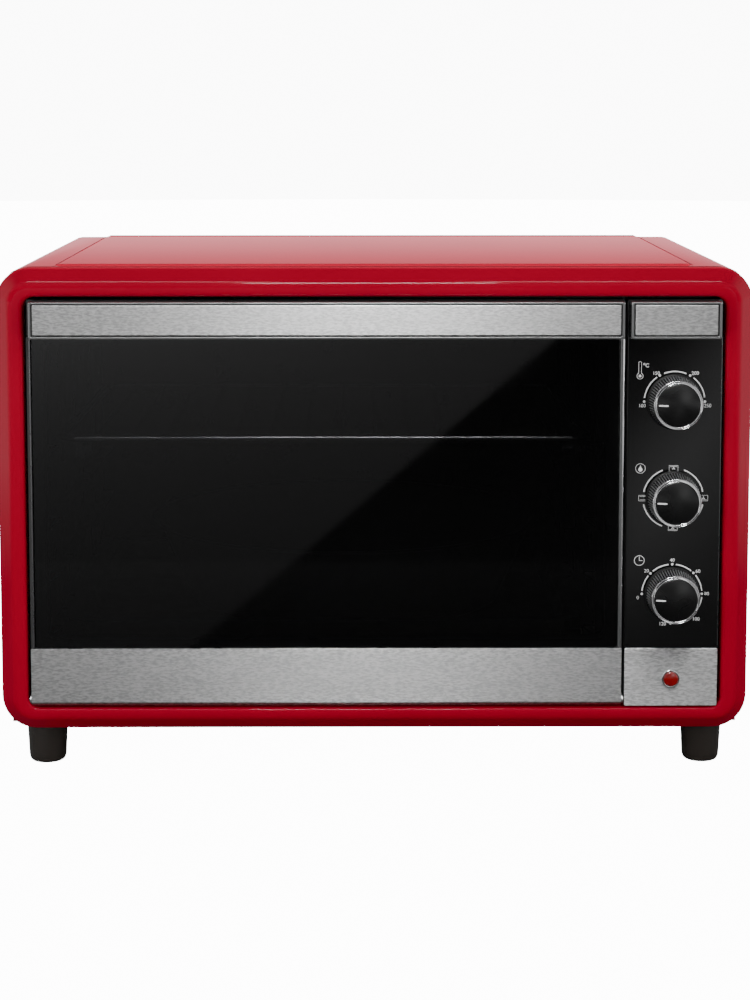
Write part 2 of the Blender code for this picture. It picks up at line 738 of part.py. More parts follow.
def heaters():
    """Two U-shaped tube heaters that enter through the right wall, each end in a ceramic bush."""
    reach = CAVITY[0] + HEATER_REACH + HEATER_RADIUS
    end = CAVITY[1] + SHEET + HEATER_TAIL
    half = HEATER_SPREAD / 2
    for level, z in heater_heights().items():
        bend = arc((reach + HEATER_BEND, CAVITY_MIDDLE + half - HEATER_BEND), HEATER_BEND, 90, 180,
                   HEATER_BEND_STEPS)
        bend += arc((reach + HEATER_BEND, CAVITY_MIDDLE - half + HEATER_BEND), HEATER_BEND, 180, 270,
                    HEATER_BEND_STEPS)
        route = [(end, CAVITY_MIDDLE + half)] + bend + [(end, CAVITY_MIDDLE - half)]
        curve = bpy.data.curves.new(f"{level}_heater", "CURVE")
        curve.dimensions = "3D"
        curve.bevel_depth = HEATER_RADIUS
        curve.bevel_resolution = 2
        curve.use_fill_caps = True
        line = curve.splines.new("POLY")
        line.points.add(len(route) - 1)
        for point, (x, y) in zip(line.points, route):
            point.co = (x, y, z, 1)
        curve.materials.append(material("heater_steel"))
        bpy.context.collection.objects.link(bpy.data.objects.new(f"{level}_heater", curve))
    neck = HEATER_BUSH_RADIUS - HEATER_BUSH_FLANGE - GAP
    bore = HEATER_RADIUS + GAP
    profile = [(bore, -SHEET), (neck, -SHEET), (neck, SHEET + GAP), (HEATER_BUSH_RADIUS, SHEET + GAP),
               (HEATER_BUSH_RADIUS, SHEET + HEATER_BUSH_FLANGE), (neck, HEATER_BUSH_RADIUS),
               (bore, HEATER_BUSH_RADIUS)]
    for name, place in heater_ends().items():
        bush = pointed(turned(profile, 12, closed=True), (CAVITY[1], *place), (1, 0, 0))
        solid(f"{name}_bush", bush, "ceramic")


def fan_guard():
    """Perforated round cover of the fan on the cavity's right wall, with a turned-in edge."""
    x = CAVITY[1] - GAP
    place = fan_place()
    profile = [(0, GUARD_EDGE), (GUARD_RADIUS - GUARD_EDGE, GUARD_EDGE), (GUARD_RADIUS, SHEET),
               (GUARD_RADIUS, 0), (GUARD_RADIUS - SHEET, 0),
               (GUARD_RADIUS - GUARD_EDGE, GUARD_EDGE - SHEET), (0, GUARD_EDGE - SHEET)]
    guard = solid("fan_guard", pointed(turned(profile, GUARD_STEPS), (x, *place), (-1, 0, 0)), "black_enamel")
    holes = [(0, 0)]
    for ring in range(1, GUARD_RINGS + 1):
        count = 6 * ring
        holes += [(ring * GUARD_RING_PITCH * cos(2 * pi * i / count),
                   ring * GUARD_RING_PITCH * sin(2 * pi * i / count)) for i in range(count)]
    shaped(guard, [rod(GUARD_HOLE_RADIUS, (x - GUARD_EDGE - OVERRUN, place[0] + u, place[1] + v),
                       (x + OVERRUN, place[0] + u, place[1] + v), steps=6) for u, v in holes])


def fan_back():
    """How far behind the cavity's right wall the shroud's inner bottom lies."""
    return FAN_CLEARANCE + FAN_DEPTH + FAN_CLEARANCE


def fan_housing():
    """Dished shroud behind the wall and the shaded-pole motor on its back."""
    depth = fan_back()
    seat = SHEET + GAP
    hole = FAN_SHAFT_RADIUS + GAP
    flange = SHROUD_RADIUS + SHROUD_FLANGE
    profile = [(hole, depth), (SHROUD_RADIUS - SHEET, depth), (SHROUD_RADIUS - SHEET, seat), (flange, seat),
               (flange, seat + SHEET), (SHROUD_RADIUS, seat + SHEET), (SHROUD_RADIUS, depth + SHEET),
               (hole, depth + SHEET)]
    origin = (CAVITY[1], *fan_place())
    solid("fan_shroud", pointed(turned(profile, 24, closed=True), origin, (1, 0, 0)), "zinc_steel")
    start = depth + SHEET + GAP
    bore_end = FAN_CLEARANCE + FAN_DEPTH + FAN_SHAFT_LENGTH + GAP
    profile = [(0, bore_end), (hole, bore_end), (hole, start), (MOTOR_RADIUS, start),
               (MOTOR_RADIUS, start + MOTOR_DEPTH * 2 / 3), (MOTOR_RADIUS / 2, start + MOTOR_DEPTH * 2 / 3),
               (MOTOR_RADIUS / 2, start + MOTOR_DEPTH), (0, start + MOTOR_DEPTH)]
    solid("fan_motor", pointed(turned(profile, 20), origin, (1, 0, 0)), "zinc_steel")


def rotisserie_fixed():
    """Gear motor behind the right wall and the notched support on the left wall."""
    y, z = spit_place()
    start = CAVITY[1] + SHEET + GAP
    half = SPIT_MOTOR_WIDTH / 2
    body = prism_x(rounded((y - half, y + half, z - half, z + half), BODY_CHAMFER, 2), start,
                   start + SPIT_MOTOR_DEPTH)
    motor = solid("rotisserie_motor", body, "zinc_steel")
    shaped(motor, [rod(SPIT_SHAFT_RADIUS + GAP, (start - OVERRUN, y, z), (start + SOCKET_REACH, y, z))])
    wall = CAVITY[0] + GAP
    half = SUPPORT_WIDTH / 2
    tab = [(wall, z - half), (wall + SHEET, z - half), (wall + SUPPORT_REACH, z - half / 2),
           (wall + SUPPORT_REACH, z + half / 2), (wall + SHEET, z + half), (wall, z + half)]
    support = solid("rotisserie_support", prism_y(tab, y - half, y - half + SHEET), "bright_steel")
    foot = block((wall, wall + SHEET, z - half, z + half), y - half, y + half)
    shaped(support, [foot], "UNION")
    notch = (wall + SUPPORT_REACH / 2 - SUPPORT_NOTCH / 2, wall + SUPPORT_REACH / 2 + SUPPORT_NOTCH / 2,
             z, z + half + OVERRUN)
    shaped(support, [block(notch, y - half - OVERRUN, y - half + SHEET + GAP)])


def knob_heights():
    return [PANEL[3] - share * (PANEL[3] - PANEL[2]) for share in KNOB_DROP_SHARES]


def bar_outline(back, low, high):
    """Section (y, z) of a handle bar whose front face stands out by the handle's reach."""
    front = FRONT - HANDLE_REACH
    r = HANDLE_ROUND
    return ([(back, low)] + arc((front + r, low + r), r, 270, 180, 3)
            + arc((front + r, high - r), r, 180, 90, 3) + [(back, high)])


def inlaid(name, bar, rect):
    """Cuts the seat of a steel strip into a bar's front and makes the strip."""
    front = FRONT - HANDLE_REACH
    seat = grown(rect, GAP)
    shaped(bar, [block(seat, front - OVERRUN, front + PLATE_SKIN + GAP)])
    solid(name, block(rect, front, front + PLATE_SKIN), "brushed_steel", bar.parent)


def control_panel():
    """Panel housing, open at its back, with the fascia, both steel plates and the signal lamp."""
    face = FRONT + FASCIA_THICKNESS + GAP
    inner = grown(PANEL, -PANEL_WALL)
    square = FASCIA_RADIUS
    rim = PLATE_FRONT - GAP
    rings = [at_y(rounded(inner, square, 2), face + PANEL_WALL), at_y(rounded(inner, square, 2), rim),
             at_y(rounded(PANEL, square, 2), rim), at_y(rounded(PANEL, square, 2), face)]
    housing = solid("panel_housing", loft(rings), "black_plastic")
    fascia_rect = (PANEL[0], PANEL[1], STRIP_TOP + GAP, HANDLE_BOTTOM - GAP)
    fascia = solid("control_fascia", prism_y(rounded(fascia_rect, square, 2), FRONT, face - GAP),
                   "gloss_black")
    strip_rect = (PANEL[0], PANEL[1], PANEL[2], STRIP_TOP)
    strip = solid("panel_bottom_plate", prism_y(rounded(strip_rect, square, 2), FRONT, face - GAP),
                  "brushed_steel")
    back = face + PANEL_WALL + OVERRUN
    shafts = [((KNOB_X, FRONT - OVERRUN, z), (KNOB_X, back, z)) for z in knob_heights()]
    lamp = Vector((KNOB_X, FRONT, PANEL[2] + LAMP_RISE))
    lamp_hole = ((lamp.x, FRONT - OVERRUN, lamp.z), (lamp.x, back, lamp.z))
    shaped(fascia, [rod(SHAFT_HOLE, *ends) for ends in shafts])
    shaped(housing, [rod(SHAFT_HOLE, *ends) for ends in shafts] + [rod(LAMP_RADIUS + GAP, *lamp_hole, 16)])
    shaped(strip, [rod(LAMP_RADIUS + GAP, *lamp_hole, 16)])
    top_rect = (PANEL[0] + GAP, PANEL[1] - BEZEL_END, HANDLE_BOTTOM, PANEL[3])
    bezel = solid("panel_top_bezel", prism_x(bar_outline(face - GAP, top_rect[2], top_rect[3]), top_rect[0],
                                             top_rect[1]), "dark_grey_plastic")
    inlaid("panel_top_plate", bezel, (top_rect[0] + HANDLE_MARGIN_SIDE, top_rect[1] - HANDLE_MARGIN_SIDE,
                                      top_rect[2] + HANDLE_MARGIN_BOTTOM, top_rect[3] - HANDLE_MARGIN_TOP))
    wide = LAMP_RADIUS + LAMP_BEZEL_WIDTH
    ring = [(LAMP_RADIUS + GAP, GAP), (wide, GAP), (wide, LAMP_BEZEL_PROUD / 2),
            (wide - LAMP_BEZEL_WIDTH / 3, LAMP_BEZEL_PROUD), (LAMP_RADIUS + GAP, LAMP_BEZEL_PROUD)]
    solid("signal_bezel", pointed(turned(ring, 16, closed=True), lamp, (0, -1, 0)), "bright_steel")
    dome = [(LAMP_RADIUS * cos(radians(a)), LAMP_BEZEL_PROUD / 2 + LAMP_DOME * sin(radians(a)))
            for a in (0, 30, 60)]
    lens = [(0, -LAMP_BODY), (LAMP_RADIUS, -LAMP_BODY), *dome, (0, LAMP_BEZEL_PROUD / 2 + LAMP_DOME)]
    solid("signal_lens", pointed(turned(lens, 16), lamp, (0, -1, 0)), "lamp_red")


def terminals(x, z, y, pairs):
    """Push-on terminals that stand out of the back of a control body."""
    tabs = []
    for i in range(pairs):
        for side in (-1, 1):
            u = x + side * TERMINAL_WIDTH
            v = z + (i - (pairs - 1) / 2) * TERMINAL_WIDTH
            rect = (u - TERMINAL_WIDTH / 2, u + TERMINAL_WIDTH / 2, v - TERMINAL_THICKNESS / 2,
                    v + TERMINAL_THICKNESS / 2)
            tabs.append(block(rect, y - TERMINAL_LENGTH / 2, y + TERMINAL_LENGTH))
    return tabs


def control_bodies():
    """Thermostat, mode switch and timer, bolted to the face plate behind their knobs."""
    seat = PLATE_BACK + GAP
    high, middle, low = knob_heights()
    bore = SHAFT_RADIUS + GAP
    depth = SHAFT_REACH + GAP
    profile = [(0, depth), (bore, depth), (bore, 0), (THERMOSTAT_RADIUS, 0),
               (THERMOSTAT_RADIUS, THERMOSTAT_DEPTH - BODY_CHAMFER),
               (THERMOSTAT_RADIUS - BODY_CHAMFER, THERMOSTAT_DEPTH), (0, THERMOSTAT_DEPTH)]
    body = pointed(turned(profile, 24), (KNOB_X, seat, high), (0, 1, 0))
    thermostat = solid("thermostat", body, "zinc_steel")
    shaped(thermostat, terminals(KNOB_X, high, seat + THERMOSTAT_DEPTH, 1), "UNION")
    for name, width, long, z, pairs in (("mode_switch", SWITCH_WIDTH, SWITCH_DEPTH, middle, 3),
                                        ("timer", TIMER_WIDTH, TIMER_DEPTH, low, 1)):
        rect = grown((KNOB_X, KNOB_X, z, z), width / 2)
        case = solid(name, prism_y(rounded(rect, BODY_CHAMFER, 2), seat, seat + long), "ceramic")
        extra = terminals(KNOB_X, z, seat + long, pairs)
        if name == "timer":
            extra = [rod(TIMER_BELL_RADIUS, (KNOB_X, seat + long - TIMER_BELL_DEPTH, z),
                         (KNOB_X, seat + long + TIMER_BELL_DEPTH, z), 24)]
        shaped(case, extra, "UNION")
        shaped(case, [rod(bore, (KNOB_X, seat - OVERRUN, z), (KNOB_X, seat + depth, z))])


def knob(name, z):
    """One control: knurled body, bright ring, black cap with its pointer, and the steel shaft."""
    axis = pivot(f"{name}_knob_axis", (KNOB_X, FRONT, z))
    seat = KNOB_REACH - KNOB_CAP_DEPTH
    base = KNOB_LIFT + KNOB_FLANGE
    bore = SHAFT_RADIUS + GAP
    body = [(0, seat), (KNOB_FACE_RADIUS - KNOB_KNURL, seat),
            (KNOB_FACE_RADIUS, seat - KNOB_KNURL, KNOB_KNURL),
            (KNOB_BASE_RADIUS - KNOB_KNURL, base + KNOB_KNURL, KNOB_KNURL),
            (KNOB_BASE_RADIUS - KNOB_KNURL, base), (KNOB_BASE_RADIUS, base - KNOB_KNURL),
            (KNOB_BASE_RADIUS, KNOB_LIFT), (bore, KNOB_LIFT), (bore, SHAFT_GRIP + GAP), (0, SHAFT_GRIP + GAP)]
    skirt = pointed(turned(body, 2 * KNOB_RIBS), axis.location, (0, -1, 0))
    solid(f"{name}_knob", skirt, "knob_silver", axis)
    inside = KNOB_FACE_RADIUS - KNOB_RING_WIDTH
    top = KNOB_REACH - KNOB_RING_DROP
    outside = KNOB_FACE_RADIUS - KNOB_KNURL / 2
    ring = [(inside, seat + GAP), (outside, seat + GAP), (outside, top - KNOB_RING_WIDTH / 3),
            (outside - KNOB_RING_WIDTH / 3, top), (inside, top)]
    solid(f"{name}_knob_ring", pointed(turned(ring, KNOB_STEPS, closed=True), axis.location, (0, -1, 0)),
          "bright_steel", axis)
    edge = inside - GAP
    crown = KNOB_REACH - POINTER_HEIGHT
    dome = [(0, seat + GAP), (edge, seat + GAP), (edge, crown - KNOB_DOME),
            (edge * 2 / 3, crown - KNOB_DOME / 3), (0, crown)]
    cap = pointed(turned(dome, KNOB_STEPS), axis.location, (0, -1, 0))
    face = solid(f"{name}_knob_cap", cap, "gloss_black", axis)
    tip = KNOB_X - edge + POINTER_EDGE
    pointer = block((tip, tip + POINTER_LENGTH, z - POINTER_WIDTH / 2, z + POINTER_WIDTH / 2),
                    FRONT - KNOB_REACH, FRONT - crown + KNOB_CAP_DEPTH / 2)
    shaped(face, [pointer], "UNION")
    shaft = rod(SHAFT_RADIUS, (KNOB_X, FRONT - SHAFT_GRIP, z), (KNOB_X, PLATE_BACK + SHAFT_REACH, z))
    solid(f"{name}_shaft", shaft, "zinc_steel", axis)


def door():
    """Drop-down door on its two hinge pins: frame, glass, trims, steel strip and handle bar."""
    axis = pivot("door_hinge_axis", HINGE)
    skin = PLATE_SKIN + GAP
    low = DOOR[2] + skin
    face = FRONT + skin
    glass_back = FRONT + GLASS_SETBACK + GLASS_THICKNESS
    seat = glass_back + GAP
    section = [(face, low + DOOR_CHAMFER), (face + DOOR_CHAMFER, low), (FRONT + DOOR_DEPTH, low),
               (FRONT + DOOR_DEPTH, DOOR[3]), (seat, DOOR[3]), (seat, STRIP_TOP), (face, STRIP_TOP)]
    frame = solid("door_frame", prism_x(section, DOOR[0], DOOR[1]), "black_enamel", axis)
    window = (DOOR[0] + DOOR_RAIL, DOOR[1] - DOOR_RAIL, STRIP_TOP + WINDOW_MARGIN,
              HANDLE_BOTTOM - WINDOW_MARGIN)
    cuts = [prism_y(rounded(window, WINDOW_RADIUS, 3), FRONT, FRONT + DOOR_DEPTH + OVERRUN)]
    for side, end in ((-1, DOOR[0]), (1, DOOR[1])):
        cuts.append(rod(PIN_RADIUS + GAP, (end + side * OVERRUN, HINGE.y, HINGE.z),
                        (end - side * (PIN_LENGTH + GAP), HINGE.y, HINGE.z)))
    shaped(frame, cuts)
    pane = (DOOR[0] + TRIM_WIDTH + GAP, DOOR[1] - TRIM_WIDTH - GAP, STRIP_TOP + GAP,
            DOOR[3] - HANDLE_TOP_WALL)
    solid("door_glass", prism_y(rounded(pane, WINDOW_RADIUS / 2, 3), FRONT + GLASS_SETBACK, glass_back),
          "dark_glass", axis)
    for name, start in (("door_trim_left", DOOR[0]), ("door_trim_right", DOOR[1] - TRIM_WIDTH)):
        nose = TRIM_WIDTH / 4
        line = [(start, seat - GAP), (start, FRONT + nose), (start + nose, FRONT),
                (start + TRIM_WIDTH - nose, FRONT), (start + TRIM_WIDTH, FRONT + nose),
                (start + TRIM_WIDTH, seat - GAP)]
        solid(name, prism_z(line, STRIP_TOP + GAP, HANDLE_BOTTOM - GAP), "bright_steel", axis)
    fold = [(FRONT, STRIP_TOP), (FRONT, DOOR[2] + DOOR_CHAMFER), (FRONT + DOOR_CHAMFER, DOOR[2]),
            (FRONT + PLATE_LIP, DOOR[2])]
    solid("door_plate", prism_x(thicken(fold, -PLATE_SKIN), DOOR[0], DOOR[1]), "brushed_steel", axis)
    left, right = DOOR[0] + HANDLE_END, DOOR[1] - HANDLE_END / 2
    back = FRONT + GLASS_SETBACK - GAP
    bar = prism_x(bar_outline(back, HANDLE_BOTTOM, DOOR[3]), left, right)
    handle = solid("door_handle", bar, "dark_grey_plastic", axis)
    groove = (left + HANDLE_WALL, right - HANDLE_WALL, HANDLE_BOTTOM - OVERRUN, DOOR[3] - HANDLE_TOP_WALL)
    shaped(handle, [block(groove, FRONT - HANDLE_REACH + HANDLE_WALL, back - HANDLE_BACK)])
    inlaid("handle_plate", handle, (left + HANDLE_MARGIN_SIDE, right - HANDLE_MARGIN_SIDE,
                                    HANDLE_BOTTOM + HANDLE_MARGIN_BOTTOM, DOOR[3] - HANDLE_MARGIN_TOP))
    hinge_side("left", -1, DOOR[0], axis)
    hinge_side("right", 1, DOOR[1], axis)


def hinge_side(side, out, end, axis):
    """The pin at one lower corner of the door and the fixed bracket that it turns in."""
    near = end + out * BRACKET_PLAY
    far = near + out * BRACKET_THICKNESS
    pin = rod(PIN_RADIUS, (end - out * PIN_LENGTH, HINGE.y, HINGE.z), (far, HINGE.y, HINGE.z))
    solid(f"hinge_pin_{side}", pin, "bright_steel", axis)
    outline = arc((HINGE.y, HINGE.z), BRACKET_RADIUS, 90, 270, 10)
    outline += [(PLATE_FRONT - GAP, HINGE.z - BRACKET_RADIUS), (PLATE_FRONT - GAP, HINGE.z + BRACKET_RADIUS)]
    bracket = solid(f"hinge_bracket_{side}", prism_x(outline, near, far), "zinc_steel")
    shaped(bracket, [rod(PIN_RADIUS + GAP, (near - out * OVERRUN / 8, HINGE.y, HINGE.z),
                         (far + out * OVERRUN / 8, HINGE.y, HINGE.z))])


def fan_wheel():
    """Radial fan wheel: hub, back disc and swept blades on its motor shaft."""
    origin = (CAVITY[1], *fan_place())
    axis = pivot("fan_axis", origin)
    end = FAN_CLEARANCE + FAN_DEPTH
    profile = [(0, FAN_CLEARANCE), (FAN_HUB_RADIUS, FAN_CLEARANCE), (FAN_HUB_RADIUS, end - SHEET),
               (FAN_RADIUS, end - SHEET), (FAN_RADIUS, end), (FAN_SHAFT_RADIUS, end),
               (FAN_SHAFT_RADIUS, end + FAN_SHAFT_LENGTH), (0, end + FAN_SHAFT_LENGTH)]
    wheel = solid("fan_wheel", pointed(turned(profile, 24), origin, (1, 0, 0)), "bright_steel", axis)
    inner = FAN_HUB_RADIUS - FAN_BLADE_THICKNESS
    outer = FAN_RADIUS - FAN_BLADE_THICKNESS
    blades = []
    for blade in range(FAN_BLADES):
        line = []
        for step in range(5):
            radius = inner + (outer - inner) * step / 4
            angle = 2 * pi * blade / FAN_BLADES + FAN_BLADE_TURN * (radius / outer) ** 2
            line.append((radius * cos(angle), radius * sin(angle)))
        sheet = prism_z(thicken(line, FAN_BLADE_THICKNESS), FAN_CLEARANCE + FAN_BLADE_THICKNESS,
                        end - SHEET / 2)
        blades.append(pointed(sheet, origin, (1, 0, 0)))
    shaped(wheel, blades, "UNION")


def rotisserie_socket():
    """Turning socket on the right wall that takes the end of a spit, with its drive shaft."""
    origin = (CAVITY[1], *spit_place())
    axis = pivot("rotisserie_axis", origin)
    tail = -(SHEET + GAP + SOCKET_REACH - SHEET)
    profile = [(0, SOCKET_REACH), (SOCKET_RADIUS - SHEET, SOCKET_REACH),
               (SOCKET_RADIUS, SOCKET_REACH - SHEET), (SOCKET_RADIUS, GAP), (SPIT_SHAFT_RADIUS, GAP),
               (SPIT_SHAFT_RADIUS, tail), (0, tail)]
    body = pointed(turned(profile, 16), origin, (-1, 0, 0))
    socket = solid("rotisserie_socket", body, "bright_steel", axis)
    y, z = spit_place()
    half = SOCKET_BORE * cos(radians(45))
    square = [(y - half, z - half), (y + half, z - half), (y + half, z + half), (y - half, z + half)]
    shaped(socket, [prism_x(square, CAVITY[1] - SOCKET_REACH - OVERRUN, CAVITY[1] - SOCKET_REACH / 4)])


def cavity_centre_x():
    return (CAVITY[0] + CAVITY[1]) / 2


def wire_rack():
    """Wire rack: a bent wire frame with straight bars welded between its front and its back."""
    wire = RACK_WIRE_RADIUS
    z = rail_levels()[-1] + GAP + wire
    front = PLATE_BACK + RACK_FRONT + wire
    rect = (CAVITY[0] + RACK_SIDE + wire, CAVITY[1] - RACK_SIDE - wire, front, CAVITY_BACK - RACK_BACK - wire)
    axis = pivot("rack_slide", (cavity_centre_x(), front, z))
    sections = []
    for i in range(8):
        turn = 2 * pi * i / 8
        outline = rounded(grown(rect, wire * cos(turn)), RACK_CORNER + wire * cos(turn), 4)
        sections.append(at_z(outline, z + wire * sin(turn)))
    rack = solid("wire_rack", loft(sections, closed=True), "bright_steel", axis)
    bars = []
    for i in range(RACK_BARS):
        u = rect[0] + (rect[1] - rect[0]) * (i + 1) / (RACK_BARS + 1)
        bars.append(rod(RACK_BAR_RADIUS, (u, rect[2], z), (u, rect[3], z), steps=6))
    shaped(rack, bars, "UNION")


def tray_and_pan():
    """Baking tray that hangs by its rim in the lowest rails, and the round pan that stands in it."""
    x = cavity_centre_x()
    front = PLATE_BACK + TRAY_FRONT
    body = (CAVITY[0] + TRAY_SIDE, CAVITY[1] - TRAY_SIDE, front, CAVITY_BACK - TRAY_BACK)
    floor = grown(body, -TRAY_TAPER)
    top = rail_levels()[0] + GAP + TRAY_WALL
    low = top - TRAY_HEIGHT
    axis = pivot("tray_slide", (x, front, low))
    corner = TRAY_CORNER

    def ring(rect, radius, z):
        return at_z(rounded(rect, radius, 5), z)

    rings = [ring(floor, corner - TRAY_TAPER, low), ring(body, corner, top - TRAY_WALL),
             ring(grown(body, TRAY_RIM), corner + TRAY_RIM, top - TRAY_WALL),
             ring(grown(body, TRAY_RIM), corner + TRAY_RIM, top),
             ring(grown(body, -TRAY_WALL), corner - TRAY_WALL, top),
             ring(grown(floor, -TRAY_WALL), corner - TRAY_TAPER - TRAY_WALL, low + TRAY_WALL)]
    solid("baking_tray", loft(rings), "pan_coating", axis)
    width = body[1] - body[0]
    depth = body[3] - body[2]
    room = width * depth / (width + depth)
    rim = room * PAN_RIM_SHARE
    base = room * PAN_BASE_SHARE
    wall = rim - PAN_RIM
    profile = [(0, 0), (base - PAN_RIM / 2, 0), (base, PAN_RIM / 2),
               (wall, PAN_HEIGHT - PAN_WALL), (rim, PAN_HEIGHT - PAN_WALL),
               (rim, PAN_HEIGHT), (wall - PAN_WALL, PAN_HEIGHT),
               (base - PAN_WALL, PAN_RIM / 2 + PAN_WALL),
               (base - PAN_RIM / 2 - PAN_WALL, PAN_WALL), (0, PAN_WALL)]
    place = (x + width * PAN_OFFSET_SHARE, front + depth / 2, low + TRAY_WALL + GAP)
    solid("cake_pan", pointed(turned(profile, PAN_STEPS), place, (0, 0, 1)), "pan_coating", axis)


def build():
    """Clears the scene and makes every sub-part."""
    for old in list(bpy.data.objects):
        bpy.data.objects.remove(old, do_unlink=True)
    front_frame()
    face_plate()
    wrap_shell()
    rear_cover()
    mains_inlet()
    base_plate()
    feet()
    cavity_liner()
    heaters()
    fan_guard()
    fan_housing()
    rotisserie_fixed()
    control_panel()
    control_bodies()
    for name, z in zip(("temperature", "mode", "timer"), knob_heights()):
        knob(name, z)
    door()
    fan_wheel()
    rotisserie_socket()
    wire_rack()
    tray_and_pan()


build()
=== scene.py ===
# %% [markdown]
# # A mini oven, piece by piece
# This notebook dresses the solid model of a countertop oven, so that it looks like the one in the
# photograph: red enamelled frame, dark glass door with a steel handle, and three knobs at the right.
# Every cell makes one thing, and the sentences above it say what that thing is and how real ones are
# made. Lengths are in metres, the front faces -Y, and the feet stand on z = 0.

import json
from math import cos, pi, radians, sin

import bmesh
import bpy
from mathutils import Matrix, Vector


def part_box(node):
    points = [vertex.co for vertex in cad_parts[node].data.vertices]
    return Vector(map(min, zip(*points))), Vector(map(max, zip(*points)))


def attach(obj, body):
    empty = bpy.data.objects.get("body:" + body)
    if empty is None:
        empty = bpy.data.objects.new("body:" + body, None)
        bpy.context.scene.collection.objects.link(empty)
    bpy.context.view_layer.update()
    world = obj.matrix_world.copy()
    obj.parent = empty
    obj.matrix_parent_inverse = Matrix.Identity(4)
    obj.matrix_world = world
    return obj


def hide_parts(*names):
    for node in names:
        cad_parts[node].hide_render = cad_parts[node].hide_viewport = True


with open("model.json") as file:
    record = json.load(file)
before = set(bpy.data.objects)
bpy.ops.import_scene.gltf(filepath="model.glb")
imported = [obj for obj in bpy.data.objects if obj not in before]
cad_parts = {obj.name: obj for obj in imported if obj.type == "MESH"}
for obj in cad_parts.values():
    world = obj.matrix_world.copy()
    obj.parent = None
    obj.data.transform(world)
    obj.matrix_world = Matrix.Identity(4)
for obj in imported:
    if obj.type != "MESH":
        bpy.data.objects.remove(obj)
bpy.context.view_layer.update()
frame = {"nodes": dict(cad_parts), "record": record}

# %% [markdown]
# ## Sizes
# The looks have to sit exactly on the solids, so the sizes come from the solids' own boxes. A few
# radii and edge widths can't be read from a box, and they are named here once.

# %% Sizes taken from the solids
def span(node):
    """The low and the high corner of a solid's box."""
    low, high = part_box(node)
    return Vector(low), Vector(high)


FRAME_LOW, FRAME_HIGH = span("front_frame")
FRONT = FRAME_LOW.y
HANDLE_LOW, HANDLE_HIGH = span("door_handle")
GLASS_LOW, GLASS_HIGH = span("door_glass")
FASCIA_LOW, FASCIA_HIGH = span("control_fascia")
BEZEL_LOW, BEZEL_HIGH = span("panel_top_bezel")
SHELL_HIGH = span("wrap_shell")[1]
PLATE_LOW, PLATE_HIGH = span("door_plate")
KNOB_NAMES = ("temperature", "mode", "timer")
KNOB_CENTRES = {}
for name in KNOB_NAMES:
    low, high = span(f"{name}_knob_cap")
    KNOB_CENTRES[name] = Vector(((low.x + high.x) / 2, FRONT, (low.z + high.z) / 2))
CORNER_RADIUS = 0.026  # the red frame's outer corners
BEVEL = 0.011  # the frame's slanting border
EDGE = 0.0022  # the bend between that border and the frame's front and side faces
print("front plane at", round(FRONT, 4))
for name, centre in KNOB_CENTRES.items():
    print(name, "knob at", tuple(round(v, 4) for v in centre))

# %% [markdown]
# ## Mesh helpers
# Most pieces of an oven are one outline swept or stacked: a pressed frame is a stack of rounded
# rectangles, a knob is a profile turned round an axis. So three small builders are enough: `loft`
# joins rings, `turned` spins a profile, and `rounded` gives a rectangle with rounded corners.

# %% Outlines and lofts
def arc(centre, radius, start, end, steps):
    """Points on an arc, angles in degrees."""
    turns = [radians(start + (end - start) * i / steps) for i in range(steps + 1)]
    return [(centre[0] + radius * cos(t), centre[1] + radius * sin(t)) for t in turns]


def rounded(rect, radius, steps=10):
    """A rectangle (left, right, low, high) with rounded corners, anticlockwise."""
    left, right, low, high = rect
    r = min(radius, (right - left) / 2, (high - low) / 2)
    corners = ((right - r, low + r), (right - r, high - r), (left + r, high - r), (left + r, low + r))
    return [point for i, centre in enumerate(corners)
            for point in arc(centre, r, 90 * i - 90, 90 * i, steps)]


def grown(rect, distance):
    """The rectangle moved outward by a distance on every side."""
    return (rect[0] - distance, rect[1] + distance, rect[2] - distance, rect[3] + distance)


def plane(points, axis, level):
    """Flat points put at a level along one axis."""
    lift = {"x": lambda u, v: (level, u, v), "y": lambda u, v: (u, level, v), "z": lambda u, v: (u, v, level)}
    return [Vector(lift[axis](u, v)) for u, v in points]


def corner_normals(bm, sharp):
    """One normal per face corner, in which large faces weigh most, so that flat faces mirror flatly."""
    area = {face: face.calc_area() for face in bm.faces}
    limit = cos(radians(sharp))
    normals = []
    for face in bm.faces:
        for vert in face.verts:
            near = [other for other in vert.link_faces if other.normal.dot(face.normal) > limit]
            total = sum((other.normal * area[other] for other in near), Vector((0, 0, 0)))
            normals.append((total if total.length else face.normal).normalized())
    return normals


def finished(bm, name, sharp=40):
    """Turns a bmesh into a mesh with outward normals, smooth except at edges sharper than an angle."""
    bmesh.ops.remove_doubles(bm, verts=bm.verts, dist=0.000001)
    bmesh.ops.recalc_face_normals(bm, faces=bm.faces)
    for face in bm.faces:
        face.smooth = True
    for edge in bm.edges:
        edge.smooth = len(edge.link_faces) == 2 and edge.calc_face_angle() < radians(sharp)
    normals = corner_normals(bm, sharp)
    mesh = bpy.data.meshes.new(name)
    bm.to_mesh(mesh)
    bm.free()
    mesh.normals_split_custom_set(normals)
    return mesh


def loft(rings, name, loop=False, sharp=40):
    """A skin over equal rings of points, with caps at both ends unless it closes on itself."""
    bm = bmesh.new()
    rows = [[bm.verts.new(p) for p in ring] for ring in rings]
    count = len(rows[0])
    pairs = list(zip(rows, rows[1:])) + ([(rows[-1], rows[0])] if loop else [])
    for lower, upper in pairs:
        for i in range(count):
            j = (i + 1) % count
            bm.faces.new((lower[i], lower[j], upper[j], upper[i]))
    if not loop:
        bm.faces.new(rows[0])
        bm.faces.new(rows[-1])
    return finished(bm, name, sharp)


